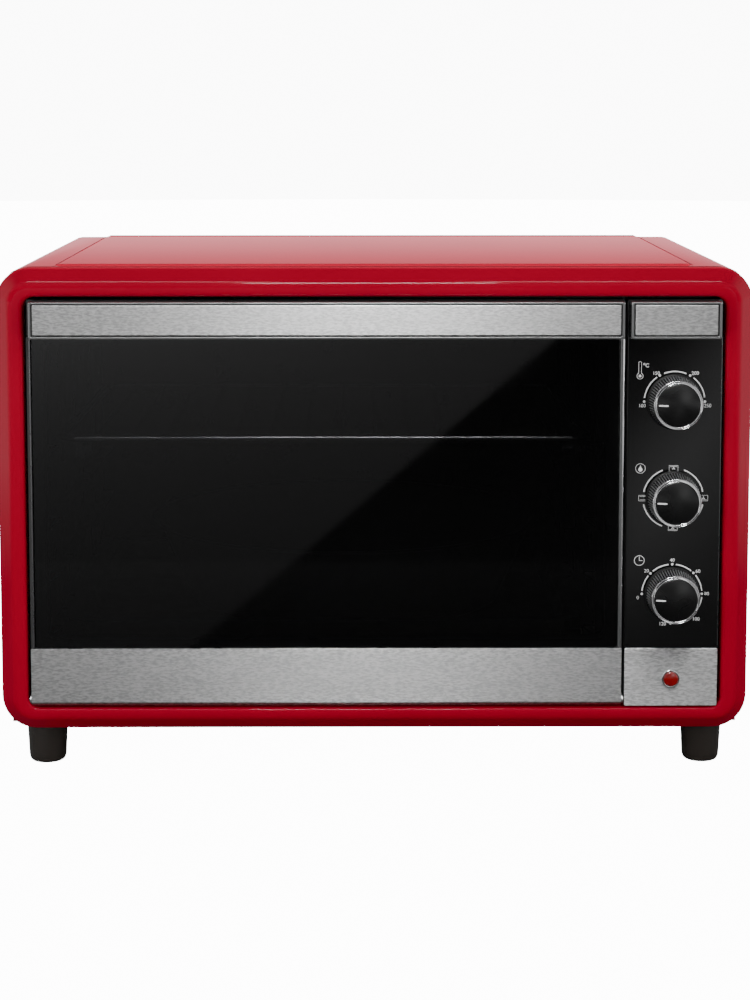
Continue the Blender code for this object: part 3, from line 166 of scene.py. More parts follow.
def turned(profile, name, steps=64, origin=(0, 0, 0), toward=(0, -1, 0), sharp=40, wave=None):
    """A profile of (radius, height) pairs spun round an axis; wave changes the radius with the turn."""
    stand = Vector((0, 0, 1)).rotation_difference(Vector(toward)).to_matrix().to_4x4()
    stand.translation = Vector(origin)
    bm = bmesh.new()
    rows = []
    for index, (radius, height) in enumerate(profile):
        if radius <= 0:
            rows.append([bm.verts.new(stand @ Vector((0, 0, height)))])
            continue
        ring = []
        for i in range(steps):
            turn = 2 * pi * i / steps
            far = radius + (wave(index, turn) if wave else 0)
            ring.append(bm.verts.new(stand @ Vector((far * cos(turn), far * sin(turn), height))))
        rows.append(ring)
    for lower, upper in zip(rows, rows[1:]):
        for i in range(steps):
            j = (i + 1) % steps
            corners = [lower[i % len(lower)], lower[j % len(lower)],
                       upper[j % len(upper)], upper[i % len(upper)]]
            unique = list(dict.fromkeys(corners))
            if len(unique) > 2:
                bm.faces.new(unique)
    if len(rows[0]) > 1 and len(rows[-1]) > 1 and profile[0] != profile[-1]:
        bm.faces.new(rows[0])
        bm.faces.new(rows[-1])
    return finished(bm, name, sharp)


print("mesh helpers ready")

# %% [markdown]
# Real edges are never knife sharp. `pad` makes a rounded rectangular slab whose front edge is rolled
# over by a small radius, so a thin highlight runs round it like on a moulded or stamped piece.

# %% Slabs, rods and joins
def pad(rect, front, back, corner, roll, name, steps=10, roll_steps=4):
    """A slab facing -Y with a rolled front edge."""
    rings = []
    for i in range(roll_steps + 1):
        turn = radians(90 * i / roll_steps)
        inset = roll * (1 - sin(turn))
        outline = rounded(grown(rect, -inset), max(corner - inset, 0.0001), steps)
        rings.append(plane(outline, "y", front + roll * (1 - cos(turn))))
    rings.append(plane(rounded(rect, corner, steps), "y", back))
    return loft(rings, name)


def rod(start, end, radius, name, steps=16):
    """A straight round bar between two points."""
    start, end = Vector(start), Vector(end)
    length = (end - start).length
    profile = [(0, 0), (radius, 0), (radius, length), (0, length)]
    return turned(profile, name, steps, start, (end - start).normalized())


def merged(meshes, name):
    """One mesh from several, keeping which faces are smooth and which edges are sharp."""
    bm = bmesh.new()
    for mesh in meshes:
        bm.from_mesh(mesh)
    result = bpy.data.meshes.new(name)
    bm.to_mesh(result)
    bm.free()
    for mesh in meshes:
        bpy.data.meshes.remove(mesh)
    return result


def smooth_copy(node, sharp=32):
    """The solid's own shape with its round surfaces shaded smooth."""
    bm = bmesh.new()
    bm.from_mesh(frame["nodes"][node].data)
    return finished(bm, node, sharp)


def plain_name(material):
    """A material's name without the number that a repeated name gets."""
    return material.name.split(".")[0]


def place(mesh, body, material, replaces=()):
    """Puts a finished mesh in the scene on the body it rides on, and hides the solids that it stands for."""
    obj = bpy.data.objects.new(mesh.name, mesh)
    bpy.context.collection.objects.link(obj)
    mesh.materials.clear()
    mesh.materials.append(material)
    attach(obj, body)
    for node in replaces:
        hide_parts(node)
    return obj


print("slabs, rods and joins ready")

# %% [markdown]
# ## Writing materials like formulas
# A procedural material is a sum of patterns: "base grey, plus a little noise, darker where the grain
# dips". `Value` wraps a socket so that `a * 0.2 + b` builds the Math nodes by itself, and `Graph.node`
# adds any node in one line. `Graph.surface` ends each graph in one Principled surface with a bump.

# %% A small language for shader graphs
class Value:
    """The output of a node, which adds and multiplies like a number."""

    def __init__(self, graph, socket):
        self.graph = graph
        self.socket = socket

    def math(self, kind, first, second=None):
        return self.graph.node("ShaderNodeMath", first, second, operation=kind)

    def __add__(self, other):
        return self.math("ADD", self, other)

    def __mul__(self, other):
        return self.math("MULTIPLY", self, other)

    def __sub__(self, other):
        return self.math("SUBTRACT", self, other)

    __radd__ = __add__
    __rmul__ = __mul__

    def between(self, low, high, to_low=0.0, to_high=1.0):
        """Stretches the range low..high onto another range and clips it."""
        node = self.graph.node("ShaderNodeMapRange", self, low, high, to_low, to_high)
        node.socket.node.clamp = True
        return node


class Graph:
    """One material under construction."""

    def __init__(self, name):
        self.material = bpy.data.materials.new(name)
        self.material.use_nodes = True
        self.tree = self.material.node_tree
        self.tree.nodes.clear()
        self.point = self.node("ShaderNodeTexCoord", out="Object")

    def feed(self, socket, value):
        """Links a value to a socket, or sets the socket to a constant."""
        if isinstance(value, Value):
            self.tree.links.new(value.socket, socket)
        elif value is not None:
            socket.default_value = value

    def node(self, kind, *inputs, out=0, named=None, **settings):
        """A node with its inputs filled in order or by name; its settings are plain attributes."""
        node = self.tree.nodes.new(kind)
        for key, value in settings.items():
            setattr(node, key, value)
        for socket, value in zip(node.inputs, inputs):
            self.feed(socket, value)
        for key, value in (named or {}).items():
            self.feed(node.inputs[key], value)
        return Value(self, node.outputs[out])

    def mapped(self, scale=(1, 1, 1)):
        """The object's own coordinates, stretched."""
        return self.node("ShaderNodeMapping", self.point, named={"Scale": scale})

    def noise(self, scale, stretch=(1, 1, 1), detail=2.0, rough=0.5):
        """Soft clouds with this many per metre."""
        return self.node("ShaderNodeTexNoise", named={
            "Vector": self.mapped(stretch), "Scale": scale, "Detail": detail, "Roughness": rough})

    def cells(self, scale):
        """The distance to the nearest of many scattered points."""
        return self.node("ShaderNodeTexVoronoi", feature="F1", named={
            "Vector": self.mapped(), "Scale": scale})

    def axis(self, name):
        """One of the object's own coordinates, in metres."""
        return self.node("ShaderNodeSeparateXYZ", self.point, out="XYZ".index(name))

    def blend(self, factor, first, second):
        """A colour between two colours."""
        node = self.tree.nodes.new("ShaderNodeMix")
        node.data_type = "RGBA"
        self.feed(node.inputs["Factor"], factor)
        for index, value in ((6, first), (7, second)):
            self.feed(node.inputs[index], value if isinstance(value, Value) else (*value, 1))
        return Value(self, node.outputs[2])

    def shader(self, base, rough, height=None, strength=0.1, depth=0.0002, **constants):
        """A Principled surface; height bumps it, and the rest are constants set on their sockets."""
        node = self.tree.nodes.new("ShaderNodeBsdfPrincipled")
        self.feed(node.inputs["Base Color"], base if isinstance(base, Value) else (*base, 1))
        self.feed(node.inputs["Roughness"], rough)
        for key, value in constants.items():
            self.feed(node.inputs[key.replace("_", " ")], value)
        if height is not None:
            bump = self.node("ShaderNodeBump", named={
                "Strength": strength, "Distance": depth, "Height": height})
            self.feed(node.inputs["Normal"], bump)
        return Value(self, node.outputs[0])

    def done(self, shader):
        """Ends the graph in this shader and returns the material."""
        end = self.tree.nodes.new("ShaderNodeOutputMaterial")
        self.tree.links.new(shader.socket, end.inputs["Surface"])
        return self.material


print("shader language ready")

# %% [markdown]
# ## Paint and enamel
# The frame is powder coated or enamelled: a colour under a clear, slightly wavy gloss. The waviness,
# called orange peel, comes from the coat flowing before it sets. It is a very shallow bump, with
# ripples of two or three millimetres, under a clear coat that keeps its own sharp highlight. Face on,
# the coat mirrors little, and seen at a slant it mirrors more, so `slant` drives the coat's weight.
# Enamel and non-stick coatings are dark grounds with fine light flecks.

# %% Red paint and black enamel
def paint(name, colour, rough, coat, peel):
    """Gloss paint whose colour drifts a little in clouds; peel is the height of its ripples."""
    g = Graph(name)
    slant = g.node("ShaderNodeLayerWeight", 0.5, out=1)
    cloud = g.noise(9, detail=1)
    base = g.blend(cloud.between(0.3, 0.7), colour, tuple(c * 0.94 for c in colour))
    ripple = g.noise(420, detail=2)
    dust = g.noise(60, detail=3)
    return g.done(g.shader(base, dust.between(0.3, 0.7, rough * 0.9, rough * 1.15), ripple, peel, 0.0003,
                           Specular_IOR_Level=0.0, Coat_Weight=slant.between(0.12, 0.30, coat * 0.25, coat),
                           Coat_Roughness=0.05, Coat_IOR=1.5))


RED = (0.305, 0.0009, 0.0160)
RED_FRAME = paint("red_frame", RED, 0.42, 0.34, 0.02)
RED_SHELL = paint("red_shell", RED, 0.34, 0.40, 0.03)


def speckled(name, ground, fleck, amount, rough, size=900):
    """A dark coating with fine light flecks, as on non-stick pans and oven enamel."""
    g = Graph(name)
    flecks = g.cells(size).between(0.16, 0.10)
    chosen = g.noise(size / 3, detail=0).between(0.55, 0.62)
    base = g.blend(flecks * chosen * amount, ground, fleck)
    return g.done(g.shader(base, g.noise(40, detail=3).between(0.3, 0.7, rough * 0.85, rough * 1.2),
                           g.noise(500, detail=2), 0.06, 0.0003, Specular_IOR_Level=0.5))


BLACK_ENAMEL = speckled("black_enamel", (0.012, 0.012, 0.013), (0.16, 0.16, 0.17), 0.6, 0.30)
PAN_COATING = speckled("pan_coating", (0.028, 0.028, 0.030), (0.20, 0.20, 0.20), 0.5, 0.36, 1300)
print("paints:", RED_FRAME.name, RED_SHELL.name, BLACK_ENAMEL.name, PAN_COATING.name)

# %% [markdown]
# ## Steel
# Brushed steel is scratched in one direction by a belt, so its grain is a noise squeezed along that
# direction: short across the scratches and long along them. The same grain changes the roughness a
# little and bumps the surface. Chrome is smooth, and zinc plate shows soft flowery spangles.

# %% Brushed, bright and plated steel
def brushed(name, tone, rough):
    """Steel with scratches along X: along and across are the grain's counts per metre."""
    along, across = 250.0, 850.0
    g = Graph(name)
    grain = g.noise(1.0, (along, along, across), detail=3, rough=0.6)
    coarse = g.noise(1.0, (along / 8, along / 8, across / 10), detail=2)
    light = (grain * 0.88 + coarse * 0.12).between(0.40, 0.60)
    base = g.blend(light, tuple(c * 0.52 for c in tone), tone)
    return g.done(g.shader(base, light.between(0, 1, rough * 1.1, rough * 0.92), grain, 0.12, 0.00004,
                           Metallic=1.0, Anisotropic=0.95, Anisotropic_Rotation=0.25))


# The panel's plate is the same brushed steel, so both have the same slot name; its copy is paler, painted
# light.
BRUSHED_PLATE = brushed("brushed_plate", (0.56, 0.56, 0.56), 0.34)
BRUSHED_PANEL_PAINTED_LIGHT = brushed("brushed_plate", (0.76, 0.76, 0.76), 0.38)


def polished(name, tone, rough, smear):
    """Smooth metal; smear is how much rougher it gets where hands have touched it."""
    g = Graph(name)
    haze = g.noise(70, detail=3)
    base = g.blend(haze.between(0.3, 0.7), tuple(c * 0.93 for c in tone), tone)
    return g.done(g.shader(base, haze.between(0.3, 0.7, rough, rough + smear), g.noise(260, detail=1),
                           0.02, 0.0002, Metallic=1.0))


BRIGHT_TRIM = polished("bright_trim", (0.82, 0.82, 0.83), 0.07, 0.06)
BRIGHT_WIRE = polished("bright_wire", (0.72, 0.72, 0.73), 0.16, 0.10)
KNOB_SILVER = polished("knob_silver", (0.52, 0.52, 0.53), 0.26, 0.08)
MACHINERY = polished("machinery", (0.44, 0.44, 0.45), 0.34, 0.12)
SATIN_RIM = polished("satin_rim", (0.17, 0.17, 0.175), 0.24, 0.10)


def plated(name, tone):
    """Zinc plate with its soft spangles."""
    g = Graph(name)
    flower = g.cells(55).between(0.0, 1.1)
    veins = g.noise(30, (1, 1, 1.6), detail=4)
    light = flower * 0.5 + veins * 0.5
    base = g.blend(light.between(0.3, 0.7), tuple(c * 0.80 for c in tone), tone)
    return g.done(g.shader(base, light.between(0.2, 0.8, 0.30, 0.48), veins, 0.05, 0.0003, Metallic=1.0))


PLATED_SHEET = plated("plated_sheet", (0.60, 0.61, 0.62))


def scorched(name):
    """Tube heaters turn blue-brown and patchy once they have glowed."""
    g = Graph(name)
    patch = g.noise(26, detail=4)
    base = g.blend(patch.between(0.35, 0.65), (0.16, 0.15, 0.14), (0.26, 0.23, 0.20))
    return g.done(g.shader(base, patch.between(0.3, 0.7, 0.40, 0.58), g.noise(900, detail=2), 0.12, 0.0002,
                           Metallic=0.85))


HEATER_TUBE = scorched("heater_tube")
METALS = (BRUSHED_PLATE, BRIGHT_TRIM, BRIGHT_WIRE, KNOB_SILVER, MACHINERY, PLATED_SHEET, HEATER_TUBE)
print("metals:", ", ".join(metal.name for metal in METALS))

# %% [markdown]
# ## Plastic, ceramic, print and glass
# Moulded plastic is never quite even: its gloss drifts and it carries a very fine texture. The door's
# glass is dark body-tinted glass. Seen from outside it is a faint mirror over a dim view of the
# inside, so it is a mix of clear, tinted transparency and a black glossy surface.

# %% Plastic, ceramic, print and glass
def moulded(name, colour, rough, coat=0.0, texture=0.04, size=1200, specular=0.5):
    """Plastic, ceramic or ink; texture is the height of its grain and size the grain's count per metre."""
    g = Graph(name)
    drift = g.noise(14, detail=2)
    base = g.blend(drift.between(0.3, 0.7), tuple(c * 0.88 for c in colour), colour)
    gloss = drift.between(0.3, 0.7, rough * 0.85, rough * 1.15)
    return g.done(g.shader(base, gloss, g.noise(size, detail=2), texture, 0.0001, Coat_Weight=coat,
                           Coat_Roughness=0.05, Specular_IOR_Level=specular))


FEET = moulded("feet", (0.024, 0.020, 0.017), 0.20, 1.0)
FASCIA = moulded("fascia", (0.0035, 0.0035, 0.0036), 0.07, 0.0, 0.01, 500, 0.35)
KNOB_FACE = moulded("knob_face", (0.0030, 0.0030, 0.0031), 0.27, 0.0, 0.01, 500, 0.40)
GREY_BEZEL = moulded("grey_bezel", (0.060, 0.061, 0.062), 0.22, 0.6, 0.02, 1200, 1.0)
BLACK_PLASTIC = moulded("black_plastic", (0.016, 0.016, 0.017), 0.55, 0.0, 0.20)
# The groove material is near black and stands in for shade where it falls in grooves, creases and gaps:
# painted shade.
SHADOW = moulded("groove", (0.004, 0.004, 0.004), 0.60, 0.0, 0.10, 1200, 0.2)
PRINT = moulded("white_print", (0.80, 0.80, 0.80), 0.55, 0.0, 0.08, 2500)
CERAMIC = moulded("ceramic", (0.70, 0.66, 0.58), 0.45, 0.15, 0.10, 700)


def lamp_red():
    """A red lens whose small ribs scatter the light."""
    g = Graph("lamp_lens")
    ribs = g.cells(700).between(0.0, 0.8)
    base = g.blend(ribs, (0.26, 0.001, 0.001), (0.16, 0.0, 0.0))
    return g.done(g.shader(base, ribs.between(0, 1, 0.10, 0.2), ribs, 0.15, 0.0002, Coat_Weight=0.8))


def dark_glass():
    """Black gloss over a clear pane: a little more than half of what is seen is the gloss."""
    g = Graph("door_glass")
    haze = g.noise(16, detail=2)
    gloss = g.shader((0.0008, 0.0008, 0.0009), haze.between(0.3, 0.7, 0.02, 0.05),
                     g.noise(12, detail=1), 0.01, 0.0003, Specular_IOR_Level=0.5)
    clear = g.node("ShaderNodeBsdfTransparent", (0.95, 0.95, 0.96, 1))
    seen = g.node("ShaderNodeMixShader", haze.between(0.2, 0.8, 0.58, 0.62), clear, gloss)
    return g.done(seen)


LAMP_LENS = lamp_red()
DOOR_GLASS = dark_glass()
MATERIALS = {plain_name(material): material for material in (
    *METALS, RED_FRAME, RED_SHELL, BLACK_ENAMEL, PAN_COATING, FEET, FASCIA, KNOB_FACE, GREY_BEZEL,
    BLACK_PLASTIC, CERAMIC, LAMP_LENS, DOOR_GLASS)}
print(len(MATERIALS), "materials by slot name")

# %% [markdown]
# Every solid that stays in view takes the material of its own slot, so nothing keeps a plain colour.

# %% Dress the solids
SLOT_OF = {entry["node"]: entry["material_slot"] for entry in frame["record"]["subparts"]}
for node, obj in frame["nodes"].items():
    obj.data.materials.clear()
    obj.data.materials.append(MATERIALS[SLOT_OF[node]])
print("dressed", len(frame["nodes"]), "solids")

# %% [markdown]
# ## The red frame
# The frame round the door is one moulding: flat in front, with a wide bevel on the outside that makes
# the oven look slimmer, and a small return into the opening. Each bend is a short curve, because a
# sheet or a moulding can't bend on a line, and those curves catch the light as thin bright seams. A
# fine groove runs round the moulding just behind its bevel, and a near-black strip in it, where the
# moulding meets the shell, is painted shade.

# %% Red front frame
def bend(before, corner, after, steps=5):
    """A rounded corner between two points, as a short curve."""
    before, corner, after = Vector(before), Vector(corner), Vector(after)
    return [tuple(before.lerp(corner, t).lerp(corner.lerp(after, t), t))
            for t in (i / steps for i in range(steps + 1))]


OUTER = (FRAME_LOW.x, FRAME_HIGH.x, FRAME_LOW.z, FRAME_HIGH.z)
SIDE_WIDTH, BOTTOM_WIDTH, TOP_WIDTH = 0.0215, 0.0183, 0.0210  # how wide the frame is seen from the front
OPENING = (OUTER[0] + SIDE_WIDTH, OUTER[1] - SIDE_WIDTH, OUTER[2] + BOTTOM_WIDTH, OUTER[3] - TOP_WIDTH)
OPENING_RADIUS = 0.0085
BACK = FRAME_HIGH.y


def frame_ring(inset, level):
    """The frame's outer outline, moved inward, at a level along Y."""
    return plane(rounded(grown(OUTER, -inset), CORNER_RADIUS - inset, 14), "y", level)


def opening_ring(out, level):
    """The opening's outline, moved outward, at a level along Y."""
    return plane(rounded(grown(OPENING, out), OPENING_RADIUS + out, 14), "y", level)


def frame_moulding():
    """The moulding's section, as (distance from an edge, depth) pairs, carried round the frame."""
    wall, groove, returned = 0.002, 0.0014, 0.012
    slant = EDGE * 0.7
    deep = BACK - FRONT
    outside = [(0, deep), (0, deep - 0.0003), (groove, deep - 0.0005),
               (groove, BEVEL + EDGE + 0.0012), (0, BEVEL + EDGE + 0.0008)]
    outside += bend((0, BEVEL + EDGE), (0, BEVEL), (slant, BEVEL - slant))
    outside += bend((BEVEL - 1.5 * slant, 1.5 * slant), (BEVEL, 0), (BEVEL + 1.7 * EDGE, 0), 7)
    inside = bend((1.5 * EDGE, 0), (0, 0), (0, 1.5 * EDGE)) + [(0, returned), (wall, returned), (wall, wall)]
    behind = [(BEVEL + wall, wall), (wall, BEVEL + wall), (wall, deep)]
    rings = [frame_ring(inset, FRONT + depth) for inset, depth in outside]
    rings += [opening_ring(out, FRONT + depth) for out, depth in inside]
    rings += [frame_ring(inset, FRONT + depth) for inset, depth in behind]
    return loft(rings, "frame_moulding", loop=True, sharp=50)


def painted_seam_shade():
    """A near-black strip in the groove at the moulding's rear edge: painted shade at the joint with the sheet
    behind it.
    """
    section = ((0.0001, 0.0006), (0.0001, 0.0012), (0.0013, 0.0012), (0.0013, 0.0006))
    return loft([frame_ring(inset, BACK - ahead) for inset, ahead in section], "frame_seam", loop=True)


place(frame_moulding(), "cabinet", RED_FRAME, ["front_frame"])
# painted shade: a near-black strip in the rear of the frame's groove
place(painted_seam_shade(), "cabinet", SHADOW)
print("frame moulding in place")

# %% [markdown]
# ## Sheet metal behind the frame
# The shell, the covers and the oven's inside are folded or pressed sheets. Their solids already have
# the right folds, ribs and slots, so each gets a copy whose round surfaces are shaded smooth, and a
# skin of its own: the shell is painted red, the outside covers are zinc plated, the inside is enamel.
# The shell's raised field slopes by 18.4 degrees, so its shading has to break at a smaller angle.

# %% Shell, covers and cavity
def body_of(node):
    """The body whose list holds a solid."""
    return next(body for body, nodes in frame["record"]["behaviour"]["bodies"].items() if node in nodes)


def refine(nodes, sharp=32):
    """Replaces solids by smoothly shaded copies in the materials of their slots."""
    for node in nodes:
        mesh = smooth_copy(node, sharp)
        mesh.name = f"{node}_skin"
        place(mesh, body_of(node), MATERIALS[SLOT_OF[node]], [node])


refine(["wrap_shell"], 18.2)
refine(["rear_cover", "base_plate", "cavity_liner", "fan_guard", "fan_shroud", "fan_motor",
        "fan_wheel", "mains_inlet", "upper_heater", "lower_heater", "thermostat", "timer", "mode_switch",
        "rotisserie_socket", "hinge_pin_left", "hinge_pin_right", "hinge_bracket_left", "hinge_bracket_right",
        "door_handle", "panel_top_bezel"])
print("smooth skins made")

# %% [markdown]
# ## Feet
# Each foot is a tapered cup of hard plastic with a rounded rim, so that it slides on a worktop and
# hides the screw that holds it. A profile turned round its own axis makes it.

# %% Four feet
for node in [n for n in frame["nodes"] if n.startswith("foot_")]:
    low, high = span(node)
    centre = (low + high) / 2
    top = high.z
    wide = (high.x - low.x) / 2
    foot = [(0, 0)] + bend((wide * 0.68, 0), (wide * 0.88, 0), (wide * 0.905, 0.0055), 8)
    foot += bend((wide * 0.985, top - 0.0035), (wide * 0.995, top - 0.0015), (wide, top - 0.0012), 3)
    foot += [(wide, top), (0, top)]
    place(turned(foot, f"{node}_cup", 64, (centre.x, centre.y, 0), (0, 0, 1)), "cabinet", FEET, [node])
print("feet turned")

# %% [markdown]
# ## The door
# The door is a glass pane in a frame, edged by two strips that hide the ends of the glass. Each strip
# carries a fine metal bead along its right side. Both sides are alike, but the left strip and bead
# take darker materials than the right ones: painted shade.

# %% Glass and trims
pane = (GLASS_LOW.x, GLASS_HIGH.x, GLASS_LOW.z, GLASS_HIGH.z)
place(pad(pane, GLASS_LOW.y, GLASS_HIGH.y, 0.003, 0.0009, "glass_pane"), "door", DOOR_GLASS, ["door_glass"])
# painted shade: the left strip and bead take darker materials than the right ones
for side in ("left", "right"):
    low, high = span(f"door_trim_{side}")
    strip = pad((low.x, high.x, low.z, high.z), low.y + 0.0003, high.y, 0.0004, 0.0005, f"glass_edge_{side}")
    place(strip, "door", GREY_BEZEL if side == "right" else BLACK_PLASTIC, [f"door_trim_{side}"])
    bead = pad((high.x - 0.0011, high.x, low.z, high.z), low.y, low.y + 0.002, 0.0005, 0.0005, f"bead_{side}")
    place(bead, "door", BRIGHT_TRIM if side == "right" else SATIN_RIM)
print("glass and trims in place")

# %% [markdown]
# ## Lines on the shell
# The raised field on top is pressed up from the sheet. Along the creases at its sides and on the lip at
# its rear edge lie thin near-black strips: painted shade, drawn as sections of (y, z) points and
# stretched sideways.

# %% Creases and rear lip
def drawn(section, left, right, name, sharp=40):
    """A section of (y, z) points stretched along X."""
    return loft([plane(section, "x", left), plane(section, "x", right)], name, sharp=sharp)


REAR, FIELD_TOP, FIELD_FOOT = SHELL_HIGH.y, SHELL_HIGH.z, SHELL_HIGH.z - 0.001
FIELD_FRONT = -0.1365
FIELD_SIDE, LIP_SIDE = 0.2432, 0.2395
# painted shade: a near-black strip along each crease of the raised field
for side in (-1, 1):
    line = [(FIELD_FRONT, FIELD_FOOT - 0.0003), (REAR, FIELD_FOOT - 0.0003),
            (REAR, FIELD_FOOT + 0.0002), (FIELD_FRONT, FIELD_FOOT + 0.0002)]
    crease_shade = drawn(line, side * FIELD_SIDE - 0.0002, side * FIELD_SIDE + 0.0002, "field_crease")
    place(crease_shade, "cabinet", SHADOW)
# painted shade: the rear lip is near black
lip = [(REAR - 0.0009, FIELD_TOP - 0.0004), (REAR, FIELD_TOP - 0.0004), (REAR, FRAME_HIGH.z),
       (REAR - 0.0006, FRAME_HIGH.z), (REAR - 0.0009, FRAME_HIGH.z - 0.0002)]
place(drawn(lip, -LIP_SIDE, LIP_SIDE, "rear_lip"), "cabinet", SHADOW)
print("creases and rear lip drawn")

# %% [markdown]
# ## The door's lower strip
# A folded steel strip closes the door at the bottom. Its fold is drawn as a section and stretched
# sideways, the way a press brake bends a long sheet.

# %% Folded strip
def folded_strip():
    """Sheet with an even skin, folded back under the door over a slanting cut."""
    front, low, top, back = PLATE_LOW.y, PLATE_LOW.z, PLATE_HIGH.z, PLATE_HIGH.y
    skin, cut = 0.0008, 0.0027
    outer = [(front, top - 0.0002), (front, low + cut + 0.001)]
    outer += bend((front, low + cut + 0.001), (front, low + cut), (front + 0.0007, low + cut - 0.0007))
    outer += bend((front + cut - 0.0007, low + 0.0007), (front + cut, low), (front + cut + 0.001, low))
    outer += [(back, low)]
    inner = [(back, low + skin), (front + cut + 0.0004, low + skin), (front + skin, low + cut + 0.0004),
             (front + skin, top), (front + 0.0002, top)]
    return drawn(outer + inner, PLATE_LOW.x, PLATE_HIGH.x, "folded_strip", sharp=50)


place(folded_strip(), "door", BRUSHED_PLATE, ["door_plate"])
print("door dressed")

# %% [markdown]
# ## Steel strips and the black fascia
# Thin steel strips lie in shallow seats in the handle and in the panel's top bar, so each has a fine
# rolled edge, a near-black ring of painted shadow round it and a grey rim round that. The fascia is a
# single gloss black sheet with a fine satin line along its top and its right side.

# %% Strips and fascia
def face_pad(node, name, material, corner, roll, body):
    """A slab with a rolled edge in the place of a flat solid."""
    low, high = span(node)
    mesh = pad((low.x, high.x, low.z, high.z), low.y, high.y, corner, roll, name)
    place(mesh, body, material, [node])


def ring_round(hole, width, front, deep, corner, name):
    """A band round a hole, with both front edges rolled; width is for its sides, bottom and top."""
    roll = min(0.0005, width[0] / 3)
    edge = ((0, deep), (0, roll), (roll * 0.35, roll * 0.3), (roll, 0))
    section = [([w - inward for w in width], back) for inward, back in edge]
    section += [([inward] * 3, back) for inward, back in reversed(edge)]
    rings = []
    for (side, bottom, top), back in section:
        rect = (hole[0] - side, hole[1] + side, hole[2] - bottom, hole[3] + top)
        rings.append(plane(rounded(rect, corner + side * 0.5, 6), "y", front + back))
    return loft(rings, name, loop=True, sharp=50)


def inlaid(node, name, bar_low, bar_high, body):
    """A steel strip in a shallow seat: a grey rim, a near-black ring of painted shade in the groove, and then
    the strip with rolled edges.
    """
    low, high = span(node)
    top = high.z - 0.0006
    hole = (low.x - 0.0009, high.x + 0.0009, low.z - 0.0009, top + 0.0007)
    rim_width = (hole[0] - bar_low.x, hole[2] - bar_low.z, bar_high.z - hole[3])
    rim = ring_round(hole, rim_width, bar_low.y - 0.0003, 0.0012, 0.0008, f"{name}_rim")
    place(rim, body, GREY_BEZEL)
    seat = (low.x - 0.0001, high.x + 0.0001, low.z - 0.0001, top + 0.0001)
    # painted shade: a near-black ring where the seat's groove lies in shadow
    groove_width = (0.0010, 0.0010, 0.0008)
    groove = ring_round(seat, groove_width, bar_low.y - 0.0001, 0.0008, 0.0005, f"{name}_groove")
    place(groove, body, SHADOW)
    strip = pad((low.x, high.x, low.z, top), low.y - 0.0003, high.y, 0.0009, 0.0006, name)
    place(strip, body, BRUSHED_PLATE, [node])


inlaid("handle_plate", "handle_strip", HANDLE_LOW, HANDLE_HIGH, "door")
inlaid("panel_top_plate", "panel_top_strip", BEZEL_LOW, BEZEL_HIGH, "cabinet")
# painted light: the panel's lower plate takes the paler copy of the brushed steel
face_pad("panel_bottom_plate", "panel_bottom_strip", BRUSHED_PANEL_PAINTED_LIGHT, 0.0012, 0.0006, "cabinet")
face_pad("control_fascia", "fascia_sheet", FASCIA, 0.0012, 0.0005, "cabinet")
side_line = (FASCIA_HIGH.x - 0.0006, FASCIA_HIGH.x, FASCIA_LOW.z, FASCIA_HIGH.z)
top_line = (FASCIA_LOW.x, FASCIA_HIGH.x, FASCIA_HIGH.z - 0.0012, FASCIA_HIGH.z - 0.0006)
for rect, name in ((side_line, "fascia_side_line"), (top_line, "fascia_top_line")):
    place(pad(rect, FRONT - 0.0002, FRONT + 0.0004, 0.0002, 0.0002, name, 3, 2), "cabinet", SATIN_RIM)
print("strips and fascia in place")

# %% [markdown]
# ## Rules that repeat a piece
# Ribs round a knob, wires across a rack and screws in a cover follow rules: "this many, this far
# apart". Geometry Nodes write such a rule down once. Each rule below is a small node group with named
# inputs. It copies one item, makes the copies real, gives them their material, and the result is kept
# as a plain mesh, which rides on its body like any other piece.

